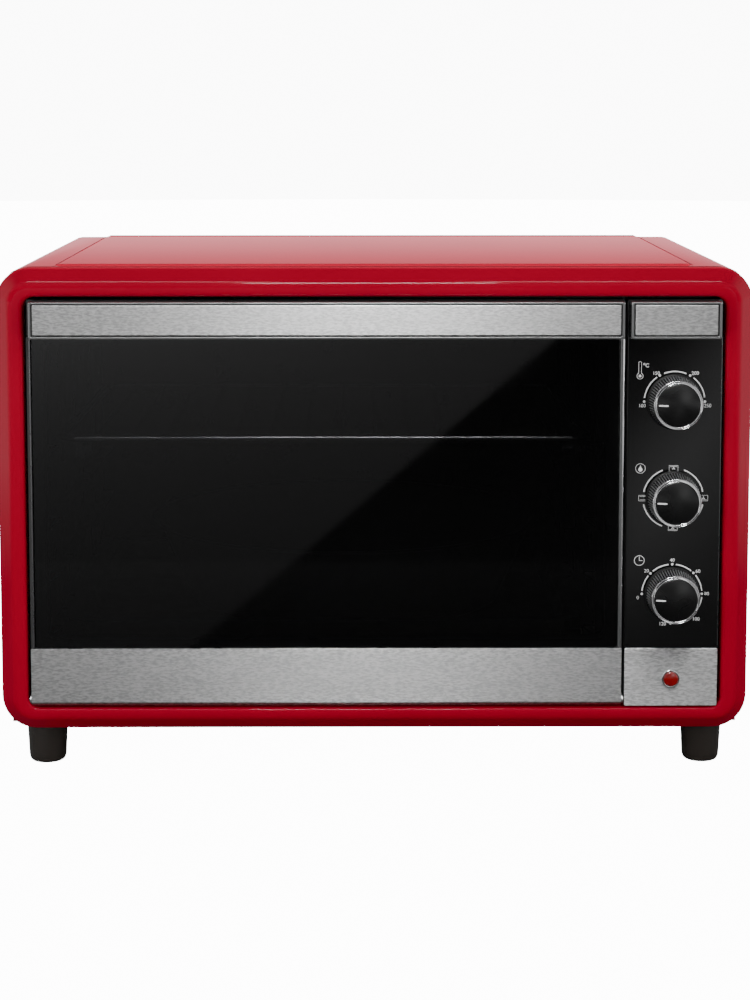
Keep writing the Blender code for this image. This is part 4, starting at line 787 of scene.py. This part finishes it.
# %% Geometry node rules
class Rule:
    """A geometry node group with named inputs, run once to give a plain mesh."""

    def __init__(self, name, inputs):
        self.tree = bpy.data.node_groups.new(name, "GeometryNodeTree")
        self.tree.is_modifier = True
        for label, kind in inputs:
            self.tree.interface.new_socket(label, in_out="INPUT", socket_type=f"NodeSocket{kind}")
        self.tree.interface.new_socket("Mesh", in_out="OUTPUT", socket_type="NodeSocketGeometry")
        self.given = self.tree.nodes.new("NodeGroupInput")

    def add(self, kind, links=None, **settings):
        """A node; links maps its input names to (node, output name) or to a constant."""
        node = self.tree.nodes.new(kind)
        for key, value in settings.items():
            setattr(node, key, value)
        for label, source in (links or {}).items():
            target = node.inputs[label]
            if isinstance(source, tuple) and hasattr(source[0], "outputs"):
                self.tree.links.new(source[0].outputs[source[1]], target)
            else:
                target.default_value = source
        return node

    def copies(self, points, turn):
        """Ends the rule: the item on every point, made real and given its material."""
        item = self.add("GeometryNodeObjectInfo", {"Object": (self.given, "Item")})
        spread = self.add("GeometryNodeInstanceOnPoints", {
            "Points": points, "Instance": (item, "Geometry"), "Rotation": turn})
        real = self.add("GeometryNodeRealizeInstances", {"Geometry": (spread, "Instances")})
        skin = self.add("GeometryNodeSetMaterial", {"Geometry": (real, "Geometry"),
                                                    "Material": (self.given, "Material")})
        end = self.tree.nodes.new("NodeGroupOutput")
        self.tree.links.new(skin.outputs["Geometry"], end.inputs["Mesh"])

    def run(self, name, item, material, base=None, **values):
        """Runs the rule and returns a plain mesh; item is the mesh that is copied."""
        pattern = bpy.data.objects.new("pattern", item)
        host = bpy.data.objects.new(name, base or bpy.data.meshes.new("empty"))
        for obj in (pattern, host):
            bpy.context.collection.objects.link(obj)
        modifier = host.modifiers.new("rule", "NODES")
        modifier.node_group = self.tree
        values = {"Item": pattern, "Material": material, **values}
        for entry in self.tree.interface.items_tree:
            if entry.in_out == "INPUT" and entry.name in values:
                modifier[entry.identifier] = values[entry.name]
        host.update_tag()
        bpy.context.view_layer.update()
        shown = host.evaluated_get(bpy.context.evaluated_depsgraph_get())
        mesh = bpy.data.meshes.new_from_object(shown)
        mesh.name = name
        for obj in (pattern, host):
            bpy.data.objects.remove(obj, do_unlink=True)
        return mesh


def ring_rule():
    """Copies round a circle, each turned to face outward."""
    rule = Rule("ring of copies", [("Item", "Object"), ("Material", "Material"), ("Count", "Int"),
                                   ("Radius", "Float")])
    circle = rule.add("GeometryNodeMeshCircle", {
        "Vertices": (rule.given, "Count"), "Radius": (rule.given, "Radius")})
    index = rule.add("GeometryNodeInputIndex")
    share = rule.add("ShaderNodeMath", operation="DIVIDE")
    rule.tree.links.new(index.outputs[0], share.inputs[0])
    rule.tree.links.new(rule.given.outputs["Count"], share.inputs[1])
    turn = rule.add("ShaderNodeMath", operation="MULTIPLY")
    rule.tree.links.new(share.outputs[0], turn.inputs[0])
    turn.inputs[1].default_value = 2 * pi
    spin = rule.add("ShaderNodeCombineXYZ", {"Z": (turn, "Value")})
    rule.copies((circle, "Mesh"), (spin, "Vector"))
    return rule


def row_rule():
    """Copies along a straight line, one step apart."""
    rule = Rule("row of copies", [("Item", "Object"), ("Material", "Material"), ("Count", "Int"),
                                  ("Start", "Vector"), ("Step", "Vector")])
    line = rule.add("GeometryNodeMeshLine", {
        "Count": (rule.given, "Count"), "Start Location": (rule.given, "Start"),
        "Offset": (rule.given, "Step")})
    rule.copies((line, "Mesh"), (0, 0, 0))
    return rule


def screw_rule():
    """Copies on given points, each turned by its own chance, as screws stop at any angle."""
    rule = Rule("screws on points", [("Points", "Geometry"), ("Item", "Object"), ("Material", "Material"),
                                     ("Seed", "Int")])
    chance = rule.add("FunctionNodeRandomValue", {"Seed": (rule.given, "Seed")}, data_type="FLOAT")
    for socket in chance.inputs:
        if socket.name == "Max" and socket.type == "VALUE":
            socket.default_value = 2 * pi
    amount = next(s for s in chance.outputs if s.type == "VALUE")
    spin = rule.add("ShaderNodeCombineXYZ")
    rule.tree.links.new(amount, spin.inputs["Y"])
    rule.copies((rule.given, "Points"), (spin, "Vector"))
    return rule


RING, ROW, SCREWS = ring_rule(), row_rule(), screw_rule()
print("rules:", RING.tree.name, ROW.tree.name, SCREWS.tree.name)

# %% [markdown]
# ## Knobs
# A knob like this is a moulded plastic skirt with fine ribs for grip, plated like metal, with two
# thin chrome rings and a domed black cap that carries a raised white pointer. The ribs are one item
# copied round a ring by the rule above, and the core between them is near black: painted shade for
# the shadow it lies in. A shallow taper lets the moulding leave its tool. Each part is modelled
# along +Z, then turned.

# %% Knob sizes
KNOB_LOW, KNOB_HIGH = span("temperature_knob")
REACH = FRONT - span("temperature_knob_cap")[0].y  # how far a knob stands out of the front
SKIRT = (KNOB_HIGH.x - KNOB_LOW.x) / 2  # radius at the panel
FACE = 0.0182  # radius at the front
SEAT = REACH - 0.0047  # height at which cap and rings start
CAP_EDGE = FACE - 0.0022
DOME = 0.0022  # how far the cap's middle stands above its edge
RIB_COUNT = 60
RIB_RADIUS = SKIRT - 0.0011


def facing(mesh, centre):
    """Turns a piece modelled along +Z so that it faces -Y at a place on the front."""
    mesh.transform(Matrix.Translation(centre) @ Matrix.Rotation(radians(90), 4, "X"))
    return mesh


print("skirt radius", round(SKIRT, 4), "reach", round(REACH, 4))

# %% Knob parts
def knob_skirt():
    """The core's profile, with a flange at the panel."""
    low, seat = 0.0008, REACH - 0.005
    profile = [(0.0035, low)] + bend((SKIRT - 0.0005, low), (SKIRT, low), (SKIRT, low + 0.0005), 3)
    profile += bend((SKIRT, low + 0.0017), (SKIRT, low + 0.0024), (SKIRT - 0.0010, low + 0.0026), 4)
    profile += [(SKIRT - 0.0019, low + 0.0030)]
    profile += bend((FACE - 0.0009, seat - 0.0012), (FACE - 0.0010, seat - 0.0002), (FACE - 0.0018, seat), 4)
    return profile + [(0, seat)]


def knob_rib():
    """One rib: a rounded wedge that leans inward with the taper and thins at both ends."""
    low, high = 0.0042, REACH - 0.0060
    lean = FACE - 0.0002 - RIB_RADIUS
    wedge = ((-0.0006, -0.00048), (0.00015, -0.00040), (0.0004, 0), (0.00015, 0.00040), (-0.0006, 0.00048))
    rings = []
    for t, thin in ((0, 0.4), (0.03, 1), (0.97, 1), (1, 0.4)):
        shift = lean * t
        height = low + (high - low) * t
        rings.append([Vector((shift + u * thin - 0.0004, v * thin, height)) for u, v in wedge])
    return loft(rings, "rib", sharp=60)


def chrome_ring(outer, inner, low, high, name):
    """A ring with a rounded crown."""
    mid = (outer + inner) / 2
    crown = bend((outer, high - 0.0007), (outer, high), (mid, high), 4)
    crown += bend((mid, high), (inner, high), (inner, high - 0.0006), 4)
    profile = [(inner, low), (outer, low)] + crown + [(inner, low + 0.00001)]
    return turned(profile, name, 96, toward=(0, 0, 1))


def knob_cap():
    """A cap whose face rises toward its middle with the square of the distance from its edge."""
    top = REACH - 0.0004
    rim = top - DOME
    profile = [(0, SEAT), (CAP_EDGE, SEAT), (CAP_EDGE, rim - 0.0006)]
    profile += bend((CAP_EDGE, rim - 0.0006), (CAP_EDGE, rim), (CAP_EDGE * 0.95, top - DOME * 0.9), 4)
    profile += [(CAP_EDGE * f / 20, top - DOME * f * f / 400) for f in range(18, 0, -1)] + [(0, top)]
    return turned(profile, "cap", 96, toward=(0, 0, 1), sharp=60)


def pointer_bar(centre, name):
    """A raised white bar that follows the dome from near its edge inward."""
    rings = []
    for i in range(9):
        share = 0.92 - 0.055 * i
        front = FRONT - REACH + 0.0002 + DOME * share * share
        half = 0.0004 if i in (0, 8) else 0.0006
        lower = [(front + 0.002, -half), (front + 0.0002, -half), (front, -half * 0.6)]
        upper = [(y, -z) for y, z in reversed(lower)]
        section = [(y, centre.z + z) for y, z in lower + upper]
        rings.append(plane(section, "x", centre.x - CAP_EDGE * share))
    return loft(rings, name)


print("knob parts described")

# %% [markdown]
# All three knobs are alike and differ only in where they sit and which control they turn, so one loop
# builds them. Each rides on its own control, and its parts take the place of the knob's solids.

# %% Three knobs
for name in KNOB_NAMES:
    centre, body = KNOB_CENTRES[name], f"{name}_control"
    skirt = turned(knob_skirt(), "skirt", 96, toward=(0, 0, 1))
    ribs = RING.run("ribs", knob_rib(), KNOB_SILVER, Count=RIB_COUNT, Radius=RIB_RADIUS)
    skirt.name, ribs.name = f"{name}_core", f"{name}_ribs"
    # painted shade: the core is near black for the shadow between the ribs
    place(facing(skirt, centre), body, SHADOW)
    place(facing(ribs, centre), body, KNOB_SILVER, [f"{name}_knob"])
    outer_ring = chrome_ring(FACE - 0.0001, FACE - 0.0007, SEAT, REACH - 0.0030, "outer ring")
    inner_ring = chrome_ring(FACE - 0.0016, FACE - 0.0021, SEAT, REACH - 0.0023, "inner ring")
    rings = merged([outer_ring, inner_ring], f"{name}_rings")
    place(facing(rings, centre), body, BRIGHT_TRIM, [f"{name}_knob_ring"])
    cap = facing(knob_cap(), centre)
    cap.name = f"{name}_face"
    place(cap, body, KNOB_FACE, [f"{name}_knob_cap"])
    place(pointer_bar(centre, f"{name}_pointer"), body, PRINT)
print("three knobs built")

# %% [markdown]
# ## The printed dials
# Dials are screen printed: white ink a few hundredths of a millimetre thick. Arcs, dots and symbols
# are flat ribbons, and plain numbers come from the built-in font, made into meshes at once. Only
# numbers and plain symbols are used, so the words of the photograph are left out.

# %% Ink
INK = 0.00005


def stamped(outline, name="mark"):
    """A flat closed outline of (x, z) points with the thickness of ink."""
    return loft([plane(outline, "y", FRONT - INK), plane(outline, "y", FRONT + INK)], name)


def ribbon(points, width):
    """A line of even width through (x, z) points."""
    left, right = [], []
    for i, point in enumerate(points):
        before, after = points[max(i - 1, 0)], points[min(i + 1, len(points) - 1)]
        along = Vector((after[0] - before[0], after[1] - before[1])).normalized() * width / 2
        left.append((point[0] - along.y, point[1] + along.x))
        right.append((point[0] + along.y, point[1] - along.x))
    return stamped(left + right[::-1])


def dot(x, z, radius):
    """A filled disc of ink."""
    return stamped(arc((x, z), radius, 0, 345, 23))


def circle(x, z, radius, width):
    """A ring of ink, drawn as two half circles."""
    return [ribbon(arc((x, z), radius, a, a + 180, 24), width) for a in (0, 180)]


def frame_mark(x, z, wide, high):
    """A small upright rectangle, drawn as four thin lines."""
    u, v = wide / 2, high / 2
    corners = [(x - u, z - v), (x + u, z - v), (x + u, z + v), (x - u, z + v), (x - u, z - v)]
    return [ribbon([a, b], 0.00022) for a, b in zip(corners, corners[1:])]


def lettering(text, x, z, size):
    """A number as a mesh that faces -Y, centred on a place."""
    curve = bpy.data.curves.new(text, "FONT")
    curve.body, curve.size, curve.extrude = text, size, INK
    curve.align_x, curve.align_y = "CENTER", "CENTER"
    obj = bpy.data.objects.new(text, curve)
    bpy.context.collection.objects.link(obj)
    bpy.context.view_layer.update()
    mesh = bpy.data.meshes.new_from_object(obj.evaluated_get(bpy.context.evaluated_depsgraph_get()))
    bpy.data.objects.remove(obj, do_unlink=True)
    mesh.transform(Matrix.Translation((x, FRONT, z)) @ Matrix.Rotation(radians(90), 4, "X"))
    return mesh


DIAL = 0.0226  # radius of the printed arcs round a knob
LINE = 0.00095  # width of those arcs and radius of their dots
DIGIT = 0.0037  # height of the dials' numbers
print("ink tools ready")

# %% [markdown]
# Each dial is a list of arcs and a list of numbered dots, both given by their angles. The middle dial
# has pictures in place of numbers: bars for the heaters that are on, and a fan.

# %% Dial marks
def on_dial(centre, angle):
    """The place on a dial's arc at an angle, counted anticlockwise from the right."""
    return centre.x + DIAL * cos(radians(angle)), centre.z + DIAL * sin(radians(angle))


def dial(name, arcs, dots):
    """Arcs from one angle to another, and dots with their numbers moved off them by a shift."""
    centre = KNOB_CENTRES[name]
    marks = [ribbon(arc((centre.x, centre.z), DIAL, a, b, 24), LINE) for a, b in arcs]
    for angle, number, shift in dots:
        x, z = on_dial(centre, angle)
        marks.append(dot(x, z, LINE))
        marks.append(lettering(number, x + shift[0], z + shift[1], DIGIT))
    return marks


def heat_symbol(x, z, lines, fan):
    """A framed picture of the oven: bars where the heat is, and a fan in the middle."""
    wide, high = 0.0066, 0.0042
    marks = frame_mark(x, z, wide, high)
    for share in lines:
        level = z + share * high
        marks.append(ribbon([(x - 0.0026, level), (x + 0.0026, level)], 0.00026))
    if fan:
        for angle in (90, 210, 330):
            blade = [(x, z), (x + 0.0012 * cos(radians(angle)), z + 0.0012 * sin(radians(angle)))]
            marks.append(ribbon(blade, 0.0006))
    return marks


temperature, mode, timer = (KNOB_CENTRES[name] for name in KNOB_NAMES)
marks = dial("temperature", [(173, 126), (111, 68), (52, 8)],
             [(180, "100", (-0.0016, -0.0032)), (120, "150", (-0.0026, 0.0016)),
              (60, "200", (0.0038, 0.0016)), (0, "250", (0.0021, -0.0032))])
marks += dial("mode", [(168, 111), (70, 12), (249, 192), (-12, -70)], [])
marks += dial("timer", [(174, 142), (130, 97), (83, 51), (39, 6), (-6, -41), (-53, -86)],
              [(180, "0", (-0.0030, -0.0030)), (136, "20", (-0.0030, 0.0018)), (90, "40", (0, 0.0030)),
               (45, "60", (0.0034, 0.0012)), (0, "80", (0.0036, 0)), (-47, "100", (0.0030, -0.0028)),
               (-92, "120", (-0.0060, -0.0004))])
BELOW, ABOVE = -0.30, 0.30
for angle, lines, fan in ((180, (BELOW, ABOVE), False), (90, (ABOVE,), True), (0, (BELOW,), True),
                          (-90, (BELOW, ABOVE), True)):
    marks += heat_symbol(*on_dial(mode, angle), lines, fan)
print(len(marks), "ink marks on the dials")

# %% [markdown]
# Three small symbols say what each knob sets: a thermometer, a flame and a clock.

# %% Symbols beside the dials
SYMBOL_X = mode.x - 0.0248


def thermometer(x, z):
    """A stem that is open at the bottom, a bulb round a dot."""
    stem = [(x - 0.0010, z - 0.0020)] + arc((x, z + 0.0058), 0.0010, 180, 0, 8) + [(x + 0.0010, z - 0.0020)]
    bulb = arc((x, z - 0.0040), 0.0023, 64, -244, 24)
    return [ribbon(stem, 0.00025), ribbon(bulb, 0.00028), dot(x, z - 0.0040, 0.0010)]


def flame(x, z):
    """A flame in a ring."""
    outline = [(0, -0.0024), (0.0013, -0.0018), (0.0016, -0.0006), (0.0010, 0.0006), (0.0007, 0.0002),
               (0.0005, 0.0014), (-0.0001, 0.0025), (-0.0005, 0.0010), (-0.0012, 0.0002), (-0.0016, -0.0008),
               (-0.0012, -0.0019)]
    return circle(x, z, 0.0036, 0.00030) + [stamped([(x + u, z + v) for u, v in outline], "flame")]


def clock(x, z):
    """A ring with two hands."""
    hands = ([(x, z + 0.0030), (x, z - 0.0001)], [(x - 0.0002, z), (x + 0.0024, z)])
    return circle(x, z, 0.0037, 0.00035) + [ribbon(hand, 0.0004) for hand in hands]


marks += thermometer(SYMBOL_X - 0.0012, temperature.z + 0.0232)
marks += [lettering("C", SYMBOL_X + 0.0042, temperature.z + 0.0270, 0.0042)]
marks += circle(SYMBOL_X + 0.0019, temperature.z + 0.0281, 0.0006, 0.00030)
marks += flame(SYMBOL_X, mode.z + 0.0225) + clock(SYMBOL_X, timer.z + 0.0255)
place(merged(marks, "dial_print"), "cabinet", PRINT)
print("dials printed")

# %% [markdown]
# ## Signal lamp
# The lamp is a domed red lens in a thin chrome ring, pushed through the panel's lower steel plate.

# %% Signal lamp
LENS_LOW, LENS_HIGH = span("signal_lens")
RING_LOW, RING_HIGH = span("signal_bezel")
LAMP = Vector(((LENS_LOW.x + LENS_HIGH.x) / 2, FRONT, (LENS_LOW.z + LENS_HIGH.z) / 2))
lens_radius, ring_radius = (LENS_HIGH.x - LENS_LOW.x) / 2, (RING_HIGH.x - RING_LOW.x) / 2
tall = FRONT - LENS_LOW.y
dome = [(lens_radius * sin(radians(a)), tall - 0.0012 * (1 - cos(radians(a)))) for a in range(90, 0, -10)]
profile = [(0, -0.004), (lens_radius, -0.004)] + dome + [(0, tall)]
lens = turned(profile, "lamp_dome", 64, toward=(0, 0, 1))
place(facing(lens, LAMP), "cabinet", LAMP_LENS, ["signal_lens"])
collar = chrome_ring(ring_radius, lens_radius + 0.0002, 0.0002, FRONT - RING_LOW.y, "lamp_ring")
place(facing(collar, LAMP), "cabinet", BRIGHT_TRIM, ["signal_bezel"])
print("lamp fitted")

# %% [markdown]
# ## Inside the oven
# The rack is a bent and welded wire frame with straight wires across it, plated bright. One wire is
# modelled, and the row rule repeats it. The round pan is drawn from sheet: a flat base, a tight
# radius, a slanting wall and a rolled rim that makes it stiff.

# %% Rack
RACK_LOW, RACK_HIGH = span("wire_rack")


def rack_mesh():
    """A thick wire bent into a rounded rectangle, and a row of thinner ones across it."""
    thick = (RACK_HIGH.z - RACK_LOW.z) / 2
    middle = (RACK_HIGH.z + RACK_LOW.z) / 2
    corner, sides, count = 0.014, 14, 14
    path = (RACK_LOW.x + thick, RACK_HIGH.x - thick, RACK_LOW.y + thick, RACK_HIGH.y - thick)
    rings = []
    for i in range(sides):
        turn = 2 * pi * i / sides
        outline = rounded(grown(path, thick * cos(turn)), corner + thick * cos(turn), 10)
        rings.append(plane(outline, "z", middle + thick * sin(turn)))
    edge = loft(rings, "rack edge", loop=True, sharp=80)
    wire = rod((0, path[2], 0), (0, path[3], 0), 0.0015, "wire", 12)
    gap = (path[1] - path[0]) / (count + 1)
    start = (path[0] + gap, 0, middle)
    wires = ROW.run("wires", wire, BRIGHT_WIRE, Count=count, Start=start, Step=(gap, 0, 0))
    return merged([edge, wires], "rack_wires")


place(rack_mesh(), "rack", BRIGHT_WIRE, ["wire_rack"])
print("rack wired")

# %% [markdown]
# The tray's solid already has its walls and its rim, so it only needs smooth shading. The pan is
# turned anew, because its rolled rim and its tight radius are finer than the solid's.

# %% Tray and pan
refine(["baking_tray"], 40)
PAN_LOW, PAN_HIGH = span("cake_pan")


def drawn_pan():
    """The pan's section, up the outside and down the inside, spun round its middle."""
    rim = (PAN_HIGH.x - PAN_LOW.x) / 2
    base, tall, wall = rim * 0.795, PAN_HIGH.z - PAN_LOW.z, 0.0012
    lip = rim - 0.006
    outside = [(0, 0)] + bend((base - 0.006, 0), (base, 0), (base + 0.001, 0.006), 6)
    outside += bend((lip - 0.001, tall - 0.0045), (lip, tall - 0.0012), (lip + 0.0015, tall - 0.0012), 4)
    outside += bend((rim - 0.001, tall - 0.0016), (rim, tall - 0.0014), (rim, tall - 0.0006), 4)
    inside = bend((rim, tall - 0.0006), (rim, tall), (rim - 0.001, tall), 4)[1:]
    inside += bend((lip + 0.0005, tall), (lip - wall, tall - 0.0002), (lip - wall - 0.001, tall - 0.004), 4)
    inside += bend((base + 0.001 - wall, 0.006 + wall), (base - wall, wall), (base - 0.006, wall), 6)
    inside += [(0, wall)]
    centre = ((PAN_LOW.x + PAN_HIGH.x) / 2, (PAN_LOW.y + PAN_HIGH.y) / 2, PAN_LOW.z)
    return turned(outside + inside, "round_pan", 128, centre, (0, 0, 1), sharp=50)


place(drawn_pan(), "tray", PAN_COATING, ["cake_pan"])
print("tray and pan in place")

# %% [markdown]
# ## Screws
# The rear cover is held by self-tapping screws with a crossed recess. The recess is made by letting
# the inner rings of the turned head swell four times round, and each screw stops at a chance angle.

# %% Rear cover screws
COVER_LOW, COVER_HIGH = span("rear_cover")


def screw_head():
    """A domed head whose third and fourth rings swell into a cross."""
    tall = 0.0018
    profile = [(0, tall - 0.0012), (0.0005, tall - 0.0012), (0.0011, tall - 0.0001), (0.0012, tall),
               (0.0024, tall - 0.0004), (0.0031, tall - 0.0011), (0.0032, -0.0002), (0, -0.0002)]

    def cross(index, turn):
        return 0.0006 * cos(4 * turn) if index in (2, 3) else 0

    return turned(profile, "screw", 32, toward=(0, 1, 0), wave=cross)


flange = COVER_HIGH.y - 0.007
inset = 0.0105
left, right = COVER_LOW.x + inset, COVER_HIGH.x - inset
low, high = COVER_LOW.z + inset, COVER_HIGH.z - inset
spots = [(x, flange, z) for x in (left, right) for z in (low + 0.012, (low + high) / 2, high - 0.012)]
spots += [(x, flange, z) for x in (left * 0.4, right * 0.4) for z in (low, high)]
points = bpy.data.meshes.new("screw places")
points.from_pydata(spots, [], [])
place(SCREWS.run("cover_screws", screw_head(), MACHINERY, base=points, Seed=7), "cabinet", MACHINERY)
print(len(spots), "screws in the rear cover")

# %% [markdown]
# ## The studio
# The photograph is a product shot on white. The backdrop and the floor are lit so strongly that they
# show as plain white, while cards and flags around the oven decide what its gloss mirrors. Here the
# white is given to direct sight only, and reflections find a dark studio. On the floor lie a pale card
# at the front left, which the door's glass mirrors as a soft slanting patch, and a streak at the
# right, which the fascia mirrors. Where the floor is seen through the open door's glass it is dimmed,
# as the tinted pane would do.

# %% Floor
WHITE = 13.5  # how strongly the floor and the backdrop shine toward the camera
IS_CAMERA_RAY, TRANSPARENT_DEPTH = 0, 12  # outputs of the Light Path node


def studio_floor():
    """White to direct sight; to reflections, black with a card, a streak and bright far sides."""
    g = Graph("pale_floor")
    x, y = g.axis("X"), g.axis("Y")
    past_edge = x * -1.0 - y * 0.217 - 0.285
    card = past_edge.between(0.0, 0.012) * (y * -0.21) * (x * -0.8 + 1.0)
    sides = g.node("ShaderNodeMath", x, operation="ABSOLUTE").between(0.9, 1.7) * 1.5
    across = g.node("ShaderNodeMath", x + y * 0.2426 - 0.05, operation="ABSOLUTE")
    streak = across.between(0.0, 0.17, 0.85, 0.0) * (x + y * 0.1172).between(0.1606, 0.1666)
    streak = streak * (y * -1.0).between(0.5, 1.3)
    behind_glass = g.node("ShaderNodeLightPath", out=TRANSPARENT_DEPTH).between(0.0, 1.0, 1.0, 0.05)
    seen = g.node("ShaderNodeLightPath", out=IS_CAMERA_RAY) * behind_glass
    mirrored = g.node("ShaderNodeMath", card + streak, sides, operation="MAXIMUM") * (1 / WHITE)
    glow = g.blend(seen, (0, 0, 0), (1, 1, 1))
    pale = g.blend(mirrored, (0, 0, 0), (1, 1, 1))
    light = g.tree.nodes.new("ShaderNodeMix")
    light.data_type, light.blend_type = "RGBA", "LIGHTEN"
    light.inputs["Factor"].default_value = 1.0
    g.feed(light.inputs[6], glow)
    g.feed(light.inputs[7], pale)
    tone = g.noise(1.3, detail=1)
    return g.done(g.shader(g.blend(tone, (0.040, 0.040, 0.040), (0.034, 0.034, 0.034)), 0.9, None,
                           Specular_IOR_Level=0.0, Emission_Color=Value(g, light.outputs[2]),
                           Emission_Strength=WHITE))


FLOOR_RADIUS, FLOOR_DEPTH = 9, 0.01
slab = [(0, -FLOOR_DEPTH), (FLOOR_RADIUS, -FLOOR_DEPTH), (FLOOR_RADIUS, 0), (0, 0)]
floor = bpy.data.objects.new("floor", turned(slab, "floor", 96, toward=(0, 0, 1)))
floor.data.materials.append(studio_floor())
bpy.context.collection.objects.link(floor)
print("floor laid, radius", FLOOR_RADIUS)

# %% [markdown]
# The surround works in the same way: white where it is seen directly, and for light and reflections
# dark with pale parts. The sides give the frame's side faces their sheen, the back lights the top
# face, a card in front is mirrored by the bevels, and a small window at the front right shows in the
# knobs' domes.

# %% Surround
def studio_world():
    """A world of soft patches, each a smooth ramp over a direction's coordinates."""
    world = bpy.data.worlds.new("studio")
    world.use_nodes = True
    tree = world.node_tree
    tree.nodes.clear()
    around = tree.nodes.new("ShaderNodeTexCoord")
    split = tree.nodes.new("ShaderNodeSeparateXYZ")
    tree.links.new(around.outputs["Generated"], split.inputs[0])

    def math(kind, first, second=None):
        node = tree.nodes.new("ShaderNodeMath")
        node.operation = kind
        for socket, value in zip(node.inputs, (first, second)):
            if hasattr(value, "node"):
                tree.links.new(value, socket)
            elif value is not None:
                socket.default_value = value
        return node.outputs[0]

    def ramp(value, low, high, to_low=0.0, to_high=1.0):
        node = tree.nodes.new("ShaderNodeMapRange")
        node.interpolation_type = "SMOOTHSTEP"
        tree.links.new(value, node.inputs[0])
        for socket, limit in zip(node.inputs[1:5], (low, high, to_low, to_high)):
            socket.default_value = limit
        return node.outputs[0]

    x, y, z = split.outputs
    side = ramp(math("ABSOLUTE", x), 0.55, 0.97, 0.0, 1.5)
    back = math("MULTIPLY", ramp(y, 0.0, 0.5), ramp(z, 0.060, 0.079, 1.9, 0.35))
    band = math("MULTIPLY", ramp(z, 0.20, 0.40), ramp(z, 0.80, 0.92, 1.25, 0.0))
    front = math("MULTIPLY", ramp(y, -0.15, -0.55), band)
    high = math("ADD", math("MULTIPLY", math("MAXIMUM", z, 0.0), 0.20), 0.02)
    toward = math("ADD", math("MULTIPLY", y, -0.94), math("MULTIPLY", z, 0.10))
    toward = math("ADD", math("MULTIPLY", x, 0.32), toward)
    window = ramp(toward, 0.978, 0.998, 0.0, 2.8)
    total = math("ADD", math("ADD", side, back), math("ADD", math("ADD", high, window), front))
    glow = tree.nodes.new("ShaderNodeBackground")
    tree.links.new(total, glow.inputs["Strength"])
    white = tree.nodes.new("ShaderNodeBackground")
    white.inputs["Strength"].default_value = WHITE
    seen = tree.nodes.new("ShaderNodeLightPath")
    chosen = tree.nodes.new("ShaderNodeMixShader")
    tree.links.new(seen.outputs["Is Camera Ray"], chosen.inputs["Fac"])
    tree.links.new(glow.outputs[0], chosen.inputs[1])
    tree.links.new(white.outputs[0], chosen.inputs[2])
    end = tree.nodes.new("ShaderNodeOutputWorld")
    tree.links.new(chosen.outputs[0], end.inputs["Surface"])
    bpy.context.scene.world = world


studio_world()
print("surround ready")

# %% [markdown]
# Softboxes do the rest. Some only light and aren't mirrored, so that they leave no hard shapes in the
# gloss. The two strips and the gleam are only mirrored: they draw the bright lines along the frame's
# upper bends and on the knobs.

# %% Lights
def softbox(name, spot, aim, size, power, tall=None, mirrored=False, lit=True):
    """A rectangular lamp at a spot, turned toward another; tall is its height if it isn't square."""
    lamp = bpy.data.lights.new(name, "AREA")
    lamp.energy, lamp.size, lamp.shape = power, size, "RECTANGLE"
    lamp.size_y = tall or size
    obj = bpy.data.objects.new(name, lamp)
    obj.location = spot
    obj.rotation_euler = (Vector(aim) - Vector(spot)).to_track_quat("-Z", "Y").to_euler()
    obj.visible_glossy, obj.visible_diffuse = mirrored, lit
    bpy.context.collection.objects.link(obj)


for side in (-1, 1):
    softbox("strip", (side * 0.40, -1.10, 2.10), (side * 0.1, -0.19, 0.2), 0.44, 13.5, 0.40,
            mirrored=True, lit=False)
softbox("gleam", (0.0, -1.10, 1.30), (0, -0.19, 0.3), 0.34, 27, mirrored=True, lit=False)
softbox("overhead", (0.0, 1.6, 1.8), (0, 0, 0.3), 1.6, 220)
softbox("front_left", (-1.5, -1.9, 1.3), (0, -0.2, 0.2), 1.2, 6)
softbox("front_right", (1.5, -1.9, 1.3), (0, -0.2, 0.2), 1.2, 8)
softbox("bounce", (0.0, -0.95, 0.02), (0, -0.3, 0.08), 1.5, 11, 0.7)
print("lights set")

# %% [markdown]
# ## The camera
# The picture was taken from the middle, above the oven's top and looking a little down. Distance,
# height and lens were found from the vanishing point of the top's side edges and from the scale of
# the front. A small shift of the sensor sets the oven's height in the picture.

# %% Camera
CAMERA_DISTANCE = 1.635
LOOK_DOWN, TURN = 6.08, -0.327  # degrees
camera = bpy.data.objects.new("camera", bpy.data.cameras.new("camera"))
camera.data.lens = 79.85
camera.data.sensor_width = 36.0
camera.data.shift_y = -0.17
camera.location = (-0.0090, FRONT - CAMERA_DISTANCE, 0.5115)
camera.rotation_euler = (radians(90 - LOOK_DOWN), 0, radians(TURN))
bpy.context.collection.objects.link(camera)
bpy.context.scene.camera = camera
print("camera at", tuple(round(v, 3) for v in camera.location))
